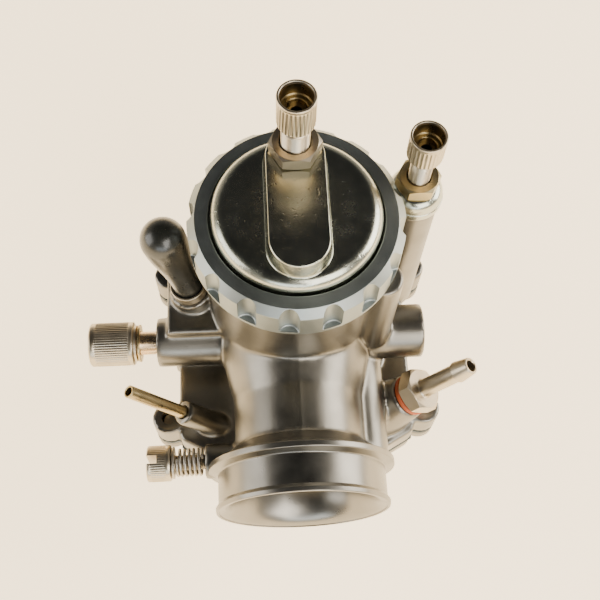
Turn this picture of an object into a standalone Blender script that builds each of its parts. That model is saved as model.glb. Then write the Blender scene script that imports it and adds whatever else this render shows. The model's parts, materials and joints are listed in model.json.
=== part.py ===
"""Round-slide motorcycle carburetor, modelled as its separate pieces.

Lengths are in millimetres and become metres where a mesh is made. +Z runs up the throttle
slide's axis, -Y points out of the intake bell, +X points to the choke tower and the fuel
inlet, and the origin is on the slide's axis at the float bowl's lowest plane.
"""

import math

import bmesh
import bpy
from mathutils import Matrix, Vector

MM = 0.001
FIT_GAP = 0.3  # between pieces that rest on, screw into or seat in each other
SLIDING_GAP = 0.2  # between a moving piece and its bore
OVERCUT = 1.0  # how far a cutter runs past the face it opens

LARGE_SIDES = 36
MEDIUM_SIDES = 20
SMALL_SIDES = 12
TINY_SIDES = 8

# Venturi and throttle slide
VENTURI_RADIUS = 17.0
VENTURI_HEIGHT = 62.0
SLIDE_OVERLAP = 3.0  # the slide's radius beyond the venturi's
SLIDE_RADIUS = VENTURI_RADIUS + SLIDE_OVERLAP
SLIDE_LENGTH = 38.0
SLIDE_WALL = 2.5
SLIDE_FLOOR = 6.5
SLIDE_LIFT = 34.0
SLIDE_CUTAWAY = 3.0
SLIDE_KEYWAY_WIDTH = 3.0
SLIDE_KEYWAY_DEPTH = 1.8
GUIDE_PIN_RADIUS = 1.2

# Main casting
BARREL_WALL = 4.3
BARREL_RADIUS = SLIDE_RADIUS + SLIDING_GAP + BARREL_WALL
BARREL_ABOVE_VENTURI = 49.1
VENTURI_FLOOR = 7.0  # metal between the venturi and the bowl joint
FLANGE_THICKNESS = 9.0
FLANGE_HALF_WIDTH = 36.0
FLANGE_FRONT = 45.0
FLANGE_REAR = 32.0
FLANGE_CORNER = 16.0
EAR_OFFSET = 3.2  # of the ear's centre beyond the flange's side
EAR_FRONT_Y = -29.5
EAR_REAR_Y = 19.0
EAR_RADIUS = 5.0
BELL_LENGTH = 62.65
BELL_TUBE_WALL = 1.6
BELL_CLAMP_RADIUS = 23.7
BELL_LIP_HEIGHT = 0.8
BELL_RIDGE_HEIGHT = 2.7
BELL_RIDGE_Y = 49.8
BELL_RIDGE_WIDTH = 1.6
BELL_LIP_WALL = 1.0
BELL_FLARE_LENGTH = 16.0
SPIGOT_LENGTH = 38.0
SPIGOT_WALL = 4.0
SPIGOT_BEAD_HEIGHT = 1.0
SPIGOT_BEAD_WIDTH = 4.0

# Top cover, seal and ring nut
COVER_FLANGE_THICKNESS = 2.5
COVER_FLANGE_LEDGE = 2.3
COVER_EDGE_FILLET = 2.9
COVER_WALL = 3.0
COVER_RISE = 9.3
SEAL_THICKNESS = 1.0
RIB_HALF_WIDTH = 8.0
RIB_TOP_HALF_WIDTH = 7.3
RIB_FRONT_Y = -19.5
RIB_REAR_Y = 20.3
RIB_HEIGHT = 5.0
NUT_WALL = 3.2
NUT_HEIGHT = 11.2
NUT_CHAMFER = 2.1
NUT_LIP = 2.5
NUT_FLUTES = 16
NUT_FLUTE_RADIUS = 2.8
NUT_FLUTE_DEPTH = 2.0
NUT_FLUTE_LEDGE = 1.4
NUT_FLUTE_TURN = -6.4

# Throttle cable adjuster
THROTTLE_CABLE_Y = 13.4
ADJUSTER_HEAD_RADIUS = 4.8
ADJUSTER_CUP_RADIUS = 4.1
ADJUSTER_CUP_DEPTH = 6.0
CABLE_HOLE_RADIUS = 1.5
THROTTLE_HEAD_LENGTH = 10.3
THROTTLE_THREAD_RADIUS = 3.7
THROTTLE_THREAD_SHOWN = 7.6
THROTTLE_THREAD_SUNK = 6.0
LOCKNUT_ACROSS_FLATS = 11.8
LOCKNUT_HEIGHT = 4.0

# Choke tower
CHOKE_BEARING = 22.66  # degrees from +X towards +Y
CHOKE_CLEARANCE = 0.38  # between its cap and the ring nut
TOWER_ABOVE_VENTURI = 39.2
TOWER_NECK_WALL = 1.0
TOWER_NECK_LENGTH = 4.4
TOWER_SHOULDER = 1.3
CHOKE_BORE_RADIUS = 4.4
CHOKE_BORE_FLOOR = -10.0  # above the venturi axis
CHOKE_PLUNGER_LENGTH = 26.0
CHOKE_CAP_WALL = 1.8
CHOKE_CAP_HEIGHT = 6.7
CHOKE_CAP_TOP = 2.0
CHOKE_NUT_ACROSS_FLATS = 10.6
CHOKE_NUT_HEIGHT = 4.1
CHOKE_NUT_THREAD_RADIUS = 4.0
CHOKE_NUT_THREAD_LENGTH = 5.0
CHOKE_NECK_RADIUS = 3.0
CHOKE_NECK_SHOWN = 9.7
CHOKE_NECK_SUNK = 4.5
CHOKE_HEAD_LENGTH = 8.6

# Idle speed screw, along X on the left
IDLE_Y = -10.5
IDLE_BOSS_RADIUS = 7.3
IDLE_BOSS_X = -41.0
IDLE_NECK_RADIUS = 3.5
IDLE_NECK_SHOWN = 6.0
IDLE_KNOB_RADIUS = 6.5
IDLE_KNOB_LENGTH = 14.0
IDLE_TIP_RADIUS = 2.0
IDLE_TIP_DEPTH = 3.5  # inside the slide's outer surface
IDLE_STEP_X = -30.0  # where the neck steps down to the tip's radius
IDLE_WASHER_RADIUS = 5.6
IDLE_WASHER_THICKNESS = 0.7

# Mixture screw, along X on the left beside the bell
MIXTURE_Y = -47.0
MIXTURE_ABOVE_VENTURI = -2.0
MIXTURE_BOSS_RADIUS = 5.0
MIXTURE_BOSS_X = -27.3
MIXTURE_SPRING_RADIUS = 3.6
MIXTURE_SPRING_WIRE = 0.45
MIXTURE_SPRING_TURNS = 5
MIXTURE_SPRING_LENGTH = 8.2
MIXTURE_WASHER_THICKNESS = 0.6
MIXTURE_HEAD_RADIUS = 5.15
MIXTURE_HEAD_LENGTH = 6.8
MIXTURE_SLOT_WIDTH = 2.3
MIXTURE_SLOT_DEPTH = 3.0
MIXTURE_SHANK_RADIUS = 2.2
MIXTURE_TIP_X = -21.0

# Blank plug, along X on the right
PLUG_BOSS_ABOVE_VENTURI = 2.0
PLUG_BOSS_RADIUS = 8.0
PLUG_BOSS_X = 38.0
PLUG_RADIUS = 4.5
PLUG_LENGTH = 6.0

# Fuel inlet, a barbed elbow-free fitting on a sloping boss
INLET_ROOT = Vector((37.0, -28.5, 0.0))  # z above the venturi axis
INLET_DIRECTION = Vector((11.7, 1.3, 15.0)).normalized()
INLET_SEAT = -5.8  # along the direction from the root
INLET_BOSS_RADIUS = 6.5
INLET_WASHER_RADIUS = 6.2
INLET_WASHER_THICKNESS = 1.3
INLET_HEX_ACROSS_FLATS = 12.0
INLET_HEX_LENGTH = 4.6
INLET_TUBE_RADIUS = 2.7
INLET_BARB_RADIUS = 3.15
INLET_TUBE_LENGTH = 18.5
INLET_HOLE_RADIUS = 1.65
INLET_THREAD_RADIUS = 3.6
INLET_THREAD_LENGTH = 6.0

# Vent tube on the left
VENT_ROOT = Vector((-34.0, -31.3, -4.0))
VENT_DIRECTION = Vector((-13.6, 1.2, 17.0)).normalized()
VENT_LENGTH = 21.8
VENT_SUNK = 5.0
VENT_RADIUS = 1.85
VENT_HOLE_RADIUS = 1.25
VENT_BOSS_RADIUS = 3.6

# Primer under its dust boot on the left
PRIMER_Y = 0.2
PRIMER_ABOVE_VENTURI = 14.0
PRIMER_CLEARANCE = 0.4  # between its collar and the barrel
PRIMER_DIRECTION = Vector((-5.0, 1.3, 29.0)).normalized()
PRIMER_BOSS_RADIUS = 6.2
PRIMER_COLLAR_RADIUS = 5.3
PRIMER_COLLAR_HEIGHT = 3.0
PRIMER_NIPPLE_RADIUS = 3.0
PRIMER_NIPPLE_LENGTH = 7.0
PRIMER_ROD_RADIUS = 1.5
PRIMER_BUTTON_RADIUS = 3.0
PRIMER_BUTTON_LENGTH = 3.0
PRIMER_TRAVEL = 4.0
BOOT_LENGTH = 33.5
BOOT_BASE_RADIUS = 4.3
BOOT_HEAD_RADIUS = 6.2
BOOT_WALL = 1.2

# Float bowl and what it holds
BOWL_WALL = 3.0
BOWL_FLOOR = 4.0
BOWL_FLANGE_THICKNESS = 5.0
BOWL_TAPER = 3.0
GASKET_THICKNESS = 1.0
BOWL_SCREW_RADIUS = 1.9
BOWL_SCREW_HEAD_RADIUS = 3.6
BOWL_SCREW_HEAD_HEIGHT = 3.0
BOWL_SCREW_REACH = 7.0
DRAIN_ACROSS_FLATS = 14.0
DRAIN_HEAD_HEIGHT = 3.0
DRAIN_WASHER_THICKNESS = 1.0
DRAIN_THREAD_RADIUS = 5.0
DRAIN_THREAD_LENGTH = 2.6
DRAIN_BOSS_RADIUS = 11.0
DRAIN_BOSS_FLOOR = 3.0
JET_BOSS_RADIUS = 7.0
JET_SHOWN = 7.5  # bare length between its hexagon and the boss
JET_RADIUS = 3.0
JET_HEX_ACROSS_FLATS = 8.0
JET_HEX_HEIGHT = 3.0
JET_NOZZLE_RISE = 3.2
JET_BORE_RADIUS = 1.6
MAIN_JET_ACROSS_FLATS = 6.0
MAIN_JET_HEAD_HEIGHT = 3.2
MAIN_JET_THREAD_RADIUS = 2.0
MAIN_JET_THREAD_LENGTH = 2.4
MAIN_JET_HOLE_RADIUS = 0.6
SMALL_JET_RADIUS = 2.1
SMALL_JET_LENGTH = 12.0
SMALL_JET_BOSS_RADIUS = 4.0
SMALL_JET_BOSS_LENGTH = 8.0
SMALL_JET_HOLE_RADIUS = 0.5
SMALL_JET_Y = 13.0
NEEDLE_RADIUS = 1.2
NEEDLE_TIP_RADIUS = 0.6
NEEDLE_HEAD_ABOVE_FLOOR = 3.2
CLIP_THICKNESS = 0.8
CLIP_RADIUS = 3.2
RETAINER_RADIUS = 10.0
RETAINER_THICKNESS = 1.2
SLIDE_SPRING_CLEARANCE = 1.2  # between the coils and the slide's wall
SLIDE_SPRING_WIRE = 0.7
SLIDE_SPRING_TURNS = 8

# Float and its valve
FLOAT_PIN_Y = -33.0
FLOAT_PIN_BELOW_FLANGE = 5.0
FLOAT_PIN_RADIUS = 1.2
FLOAT_POST_INNER_X = 8.4
FLOAT_POST_THICKNESS = 2.6
FLOAT_POST_RADIUS = 3.0
FLOAT_EAR_THICKNESS = 2.6
FLOAT_LOBE_INNER_X = 9.5
FLOAT_SIDE_CLEARANCE = 1.0
FLOAT_LOBE_FRONT = -22.0
FLOAT_LOBE_REAR = 20.0
FLOAT_LOBE_TOP = 11.0  # below the flange face
FLOAT_FLOOR_CLEARANCE = 6.1  # above the drain boss
FLOAT_LOBE_ROUND = 3.0
VALVE_Y = -26.0
VALVE_SEAT_ACROSS_FLATS = 8.0
VALVE_SEAT_HEAD = 4.2
VALVE_SEAT_THREAD_RADIUS = 3.2
VALVE_SEAT_THREAD_LENGTH = 3.0
VALVE_BORE_RADIUS = 2.2
VALVE_NEEDLE_RADIUS = 1.9
VALVE_ORIFICE_RADIUS = 1.0
VALVE_TRAVEL = 1.1
FUEL_PASSAGE_RADIUS = 1.3

# Radii and places that follow from the sizes above
BELL_TUBE_RADIUS = VENTURI_RADIUS + BELL_TUBE_WALL
BELL_LIP_RADIUS = BELL_CLAMP_RADIUS + BELL_LIP_HEIGHT
BELL_RIDGE_RADIUS = BELL_CLAMP_RADIUS + BELL_RIDGE_HEIGHT
BELL_MOUTH_RADIUS = BELL_LIP_RADIUS - BELL_LIP_WALL
SPIGOT_RADIUS = VENTURI_RADIUS + SPIGOT_WALL
SPIGOT_BEAD_RADIUS = SPIGOT_RADIUS + SPIGOT_BEAD_HEIGHT
EAR_X = FLANGE_HALF_WIDTH + EAR_OFFSET
COVER_FLANGE_RADIUS = BARREL_RADIUS - FIT_GAP
COVER_DOME_RADIUS = COVER_FLANGE_RADIUS - COVER_FLANGE_LEDGE
COVER_TOP_RADIUS = COVER_DOME_RADIUS - COVER_EDGE_FILLET
COVER_BORE_RADIUS = SLIDE_RADIUS + 2 * SLIDING_GAP
NUT_RADIUS = BARREL_RADIUS + FIT_GAP + NUT_WALL
NUT_OPENING_RADIUS = COVER_DOME_RADIUS + 2 * FIT_GAP
TOWER_NECK_RADIUS = CHOKE_BORE_RADIUS + SLIDING_GAP + TOWER_NECK_WALL
TOWER_RADIUS = TOWER_NECK_RADIUS + TOWER_SHOULDER
CHOKE_CAP_RADIUS = TOWER_NECK_RADIUS + FIT_GAP + CHOKE_CAP_WALL
CHOKE_DISTANCE = NUT_RADIUS + CHOKE_CAP_RADIUS + CHOKE_CLEARANCE
CHOKE_X = CHOKE_DISTANCE * math.cos(math.radians(CHOKE_BEARING))
CHOKE_Y = CHOKE_DISTANCE * math.sin(math.radians(CHOKE_BEARING))
IDLE_TIP_X = IDLE_TIP_DEPTH - SLIDE_RADIUS
PRIMER_X = -(BARREL_RADIUS + PRIMER_COLLAR_RADIUS + PRIMER_CLEARANCE)
PRIMER_ROOT = Vector((PRIMER_X, PRIMER_Y, PRIMER_ABOVE_VENTURI))
SLIDE_SPRING_RADIUS = SLIDE_RADIUS - SLIDE_WALL - SLIDE_SPRING_CLEARANCE - SLIDE_SPRING_WIRE
FLOAT_LOBE_OUTER_X = FLANGE_HALF_WIDTH - 2 * BOWL_WALL - BOWL_TAPER - FLOAT_SIDE_CLEARANCE

# Heights that follow from the sizes above
FLANGE_FACE = VENTURI_HEIGHT - VENTURI_RADIUS - VENTURI_FLOOR
FLANGE_TOP = FLANGE_FACE + FLANGE_THICKNESS
BORE_FLOOR = VENTURI_HEIGHT - VENTURI_RADIUS
SLIDE_BOTTOM = BORE_FLOOR + 0.5
SLIDE_FLOOR_TOP = SLIDE_BOTTOM + SLIDE_FLOOR
SLIDE_TOP = SLIDE_BOTTOM + SLIDE_LENGTH
SLIDE_BORE_RADIUS = SLIDE_RADIUS + SLIDING_GAP
BARREL_TOP = VENTURI_HEIGHT + BARREL_ABOVE_VENTURI
SEAL_BOTTOM = BARREL_TOP + FIT_GAP
COVER_BOTTOM = SEAL_BOTTOM + SEAL_THICKNESS + FIT_GAP
COVER_FLANGE_TOP = COVER_BOTTOM + COVER_FLANGE_THICKNESS
COVER_TOP = COVER_BOTTOM + COVER_RISE
COVER_UNDERSIDE = COVER_TOP - COVER_WALL
RIB_TOP = COVER_TOP + RIB_HEIGHT
NUT_TOP = COVER_FLANGE_TOP + FIT_GAP + NUT_LIP
NUT_BOTTOM = NUT_TOP - NUT_HEIGHT
LOCKNUT_BOTTOM = RIB_TOP + FIT_GAP
TOWER_TOP = VENTURI_HEIGHT + TOWER_ABOVE_VENTURI
TOWER_NECK_TOP = TOWER_TOP + TOWER_NECK_LENGTH
CHOKE_CAP_BOTTOM = TOWER_TOP + FIT_GAP
CHOKE_CAP_UPPER = CHOKE_CAP_BOTTOM + CHOKE_CAP_HEIGHT
CHOKE_NUT_BOTTOM = CHOKE_CAP_UPPER + FIT_GAP
CHOKE_NUT_TOP = CHOKE_NUT_BOTTOM + CHOKE_NUT_HEIGHT
CHOKE_NUT_THREAD_BOTTOM = CHOKE_NUT_BOTTOM - CHOKE_NUT_THREAD_LENGTH
CHOKE_FLOOR = VENTURI_HEIGHT + CHOKE_BORE_FLOOR
CHOKE_PLUNGER_BOTTOM = CHOKE_FLOOR + FIT_GAP
CHOKE_PLUNGER_TOP = CHOKE_PLUNGER_BOTTOM + CHOKE_PLUNGER_LENGTH
GASKET_TOP = FLANGE_FACE - FIT_GAP
GASKET_BOTTOM = GASKET_TOP - GASKET_THICKNESS
BOWL_TOP = GASKET_BOTTOM - FIT_GAP
DRAIN_RECESS = DRAIN_HEAD_HEIGHT + DRAIN_WASHER_THICKNESS + 2 * FIT_GAP
DRAIN_BOSS_TOP = DRAIN_RECESS + DRAIN_BOSS_FLOOR
DRAIN_TOP = DRAIN_RECESS + DRAIN_THREAD_LENGTH
MAIN_JET_BOTTOM = DRAIN_BOSS_TOP + 2 * FIT_GAP
JET_BOTTOM = MAIN_JET_BOTTOM + MAIN_JET_HEAD_HEIGHT + FIT_GAP
JET_BOSS_BOTTOM = JET_BOTTOM + JET_HEX_HEIGHT + JET_SHOWN
JET_TOP = BORE_FLOOR + JET_NOZZLE_RISE
NEEDLE_BOTTOM = JET_BOTTOM + MAIN_JET_THREAD_LENGTH + FIT_GAP
FLOAT_PIN_Z = FLANGE_FACE - FLOAT_PIN_BELOW_FLANGE
VALVE_SEAT_TOP = FLANGE_FACE + VALVE_SEAT_THREAD_LENGTH
FUEL_PASSAGE_Z = VALVE_SEAT_TOP + FIT_GAP
MIXTURE_Z = VENTURI_HEIGHT + MIXTURE_ABOVE_VENTURI
PLUG_Z = VENTURI_HEIGHT + PLUG_BOSS_ABOVE_VENTURI


# ---------------------------------------------------------------- modelling helpers


def remove_everything():
    for item in list(bpy.data.objects):
        bpy.data.objects.remove(item)


def make_material(name, colour, roughness, metallic):
    material = bpy.data.materials.new(name)
    material.use_nodes = True
    shader = material.node_tree.nodes["Principled BSDF"]
    shader.inputs["Base Color"].default_value = (*colour, 1.0)
    shader.inputs["Roughness"].default_value = roughness
    shader.inputs["Metallic"].default_value = metallic
    return material


def placement(origin=(0.0, 0.0, 0.0), axis=(0.0, 0.0, 1.0), turn=0.0):
    """A frame in millimetres whose local Z runs along axis, turned about it by degrees."""
    direction = Vector(axis).normalized()
    rotation = Vector((0.0, 0.0, 1.0)).rotation_difference(direction).to_matrix().to_4x4()
    spin = Matrix.Rotation(math.radians(turn), 4, "Z")
    return Matrix.Translation(Vector(origin)) @ rotation @ spin


def place_mesh(name, shape, material=None, frame=None):
    """Makes an object of a bmesh drawn in millimetres; one with no material is a helper."""
    bmesh.ops.recalc_face_normals(shape, faces=shape.faces)
    mesh = bpy.data.meshes.new(name)
    shape.transform(Matrix.Diagonal((MM, MM, MM, 1.0)))
    shape.to_mesh(mesh)
    shape.free()
    item = bpy.data.objects.new(name, mesh)
    bpy.context.scene.collection.objects.link(item)
    frame = frame or Matrix.Identity(4)
    rotation = frame.to_quaternion()
    item.rotation_mode = "QUATERNION"
    item.rotation_quaternion = rotation
    item.location = frame.translation * MM
    if material:
        mesh.materials.append(material)
        mesh.shade_smooth()
        mesh.set_sharp_from_angle(angle=math.radians(30))
    else:
        item.hide_render = True
        item.display_type = "WIRE"
    return item


def combine(target, operation, *tools):
    """Adds or cuts helper objects with one Boolean modifier, through a hidden collection of them."""
    group = bpy.data.collections.new(f"{target.name}_{operation.lower()}")
    bpy.context.scene.collection.children.link(group)
    group.hide_render = True
    for tool in tools:
        bpy.context.scene.collection.objects.unlink(tool)
        group.objects.link(tool)
    step = target.modifiers.new(group.name, "BOOLEAN")
    step.operation = operation
    step.operand_type = "COLLECTION"
    step.collection = group
    step.solver = "EXACT"


def add(target, *tools):
    combine(target, "UNION", *tools)


def cut(target, *tools):
    combine(target, "DIFFERENCE", *tools)


def turned(profile, sides, phase=0.0):
    """A turned solid: profile is a closed outline of (radius, height), and radius 0 is the axis."""
    shape = bmesh.new()
    rings = []
    for radius, height in profile:
        if radius == 0:
            rings.append([shape.verts.new((0.0, 0.0, height))] * sides)
            continue
        steps = (2 * math.pi * (index + phase) / sides for index in range(sides))
        rings.append([shape.verts.new((radius * math.cos(a), radius * math.sin(a), height)) for a in steps])
    for first, second in zip(rings, rings[1:] + rings[:1]):
        for index in range(sides):
            following = (index + 1) % sides
            corners = (first[index], first[following], second[following], second[index])
            unique = list(dict.fromkeys(corners))
            if len(unique) > 2:
                shape.faces.new(unique)
    return shape


def rod(radius, bottom, top, sides=MEDIUM_SIDES, phase=0.0):
    """A plain cylinder along local Z."""
    return turned([(0, bottom), (radius, bottom), (radius, top), (0, top)], sides, phase)


def sleeve(outer, inner, bottom, top, sides=MEDIUM_SIDES):
    """A plain tube along local Z."""
    return turned([(inner, bottom), (outer, bottom), (outer, top), (inner, top)], sides)


def hexagon_radius(across_flats):
    return across_flats / math.sqrt(3)


def prism(outline, bottom, top, top_outline=None):
    """A solid between an outline at one height and the same or another outline at a second height."""
    shape = bmesh.new()
    lower = [shape.verts.new((x, y, bottom)) for x, y in outline]
    upper = [shape.verts.new((x, y, top)) for x, y in top_outline or outline]
    shape.faces.new(lower)
    shape.faces.new(upper)
    for index in range(len(lower)):
        following = (index + 1) % len(lower)
        shape.faces.new((lower[index], lower[following], upper[following], upper[index]))
    return shape


def block(low, high):
    (x0, y0, z0), (x1, y1, z1) = low, high
    return prism([(x0, y0), (x1, y0), (x1, y1), (x0, y1)], z0, z1)


def helper(name, shape, frame=None):
    return place_mesh(name, shape, None, frame)


def helper_rod(name, radius, start, end, sides=SMALL_SIDES):
    """A hidden cylinder between two points, for adding or cutting."""
    start, end = Vector(start), Vector(end)
    return helper(name, rod(radius, 0.0, (end - start).length, sides), placement(start, end - start))


def arc(centre_x, centre_y, radius, start, end, count):
    """Points of an arc, in degrees, both ends included."""
    angles = (math.radians(start + (end - start) * index / (count - 1)) for index in range(count))
    return [(centre_x + radius * math.cos(a), centre_y + radius * math.sin(a)) for a in angles]


def stadium(half_width, front, rear, count=9):
    """A long outline with round ends, along Y."""
    ends = arc(0.0, rear - half_width, half_width, 0.0, 180.0, count)
    return ends + arc(0.0, front + half_width, half_width, 180.0, 360.0, count)


def coil(radius, wire, bottom, top, turns, steps_per_turn, wire_sides):
    """A compression spring along local Z, with capped ends."""
    shape = bmesh.new()
    count = turns * steps_per_turn + 1
    rings = []
    for step in range(count):
        angle = 2 * math.pi * step / steps_per_turn
        height = bottom + wire + (top - bottom - 2 * wire) * step / (count - 1)
        outward = Vector((math.cos(angle), math.sin(angle), 0.0))
        centre = outward * radius + Vector((0.0, 0.0, height))
        ring = []
        for side in range(wire_sides):
            around = 2 * math.pi * side / wire_sides
            offset = outward * math.cos(around) + Vector((0.0, 0.0, math.sin(around)))
            ring.append(shape.verts.new(centre + offset * wire))
        rings.append(ring)
    for first, second in zip(rings, rings[1:]):
        for side in range(wire_sides):
            following = (side + 1) % wire_sides
            shape.faces.new((first[side], first[following], second[following], second[side]))
    shape.faces.new(rings[0])
    shape.faces.new(rings[-1])
    return shape


def knurled(radius, depth, ridges, profile_bottom, profile_top, chamfer):
    """A knurled cylinder along local Z with plain chamfered ends."""
    shape = bmesh.new()
    levels = ((profile_bottom, 0.0), (profile_bottom + chamfer, 1.0))
    levels += ((profile_top - chamfer, 1.0), (profile_top, 0.0))
    rings = []
    for height, grown in levels:
        ring = []
        for index in range(2 * ridges):
            reach = radius - (1.0 - grown) * chamfer - (depth * grown if index % 2 else 0.0)
            angle = math.pi * index / ridges
            ring.append(shape.verts.new((reach * math.cos(angle), reach * math.sin(angle), height)))
        rings.append(ring)
    for first, second in zip(rings, rings[1:]):
        for index in range(2 * ridges):
            following = (index + 1) % (2 * ridges)
            shape.faces.new((first[index], first[following], second[following], second[index]))
    shape.faces.new(rings[0])
    shape.faces.new(rings[-1])
    return shape


def flange_outline(margin=0.0):
    """The float bowl joint's eight-sided outline, moved in by margin."""
    half, front, rear = FLANGE_HALF_WIDTH - margin, FLANGE_FRONT - margin, FLANGE_REAR - margin
    slant = margin * math.tan(math.radians(22.5))
    inset_x = FLANGE_HALF_WIDTH - FLANGE_CORNER - slant
    inset_front = FLANGE_FRONT - 0.55 * FLANGE_CORNER - slant
    inset_rear = FLANGE_REAR - 0.5 * FLANGE_CORNER - slant
    right = [(inset_x, -front), (half, -inset_front), (half, inset_rear), (inset_x, rear)]
    return right + [(-x, y) for x, y in reversed(right)]


def ear_centres():
    return [(side * EAR_X, y) for side in (-1, 1) for y in (EAR_FRONT_Y, EAR_REAR_Y)]


def bell_outline():
    """Outer profile of the intake tube, ridge and bell, as (radius, distance ahead of the slide axis)."""
    ridge_end = BELL_RIDGE_Y + BELL_RIDGE_WIDTH
    return [
        (0.0, 6.0),
        (BARREL_RADIUS - 2.0, 6.0),
        (BARREL_RADIUS - 2.0, 17.0),
        (BELL_TUBE_RADIUS + 1.5, 25.0),
        (BELL_TUBE_RADIUS, 32.0),
        (BELL_TUBE_RADIUS, BELL_RIDGE_Y - 5.0),
        (BELL_CLAMP_RADIUS, BELL_RIDGE_Y - 1.2),
        (BELL_RIDGE_RADIUS, BELL_RIDGE_Y),
        (BELL_RIDGE_RADIUS, ridge_end),
        (BELL_CLAMP_RADIUS, ridge_end + 0.8),
        (BELL_CLAMP_RADIUS, BELL_LENGTH - 2.2),
        (BELL_LIP_RADIUS, BELL_LENGTH - 1.2),
        (BELL_LIP_RADIUS - 0.4, BELL_LENGTH),
        (0.0, BELL_LENGTH),
    ]


def bell_mouth():
    """Inner profile: a quarter-ellipse flare from the venturi bore to the lip."""
    count = 6
    points = []
    for step in range(count):
        angle = 0.5 * math.pi * step / (count - 1)
        radius = VENTURI_RADIUS + (BELL_MOUTH_RADIUS - VENTURI_RADIUS) * (1 - math.cos(angle))
        points.append((radius, BELL_LENGTH - BELL_FLARE_LENGTH * (1 - math.sin(angle))))
    first = (VENTURI_RADIUS, BELL_LENGTH - BELL_FLARE_LENGTH - 2.0)
    last = (BELL_MOUTH_RADIUS, BELL_LENGTH + OVERCUT)
    return [(0.0, first[1]), first] + points + [last, (0.0, last[1])]


def inlet_point(along):
    root = INLET_ROOT + Vector((0.0, 0.0, VENTURI_HEIGHT))
    return root + INLET_DIRECTION * along


def vent_point(along):
    root = VENT_ROOT + Vector((0.0, 0.0, VENTURI_HEIGHT))
    return root + VENT_DIRECTION * along


def primer_point(along):
    root = PRIMER_ROOT + Vector((0.0, 0.0, VENTURI_HEIGHT))
    return root + PRIMER_DIRECTION * along


def primer_depth(height):
    """The distance along the primer's axis at which it reaches a height."""
    return (height - VENTURI_HEIGHT - PRIMER_ROOT.z) / PRIMER_DIRECTION.z


# ---------------------------------------------------------------- main casting


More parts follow.
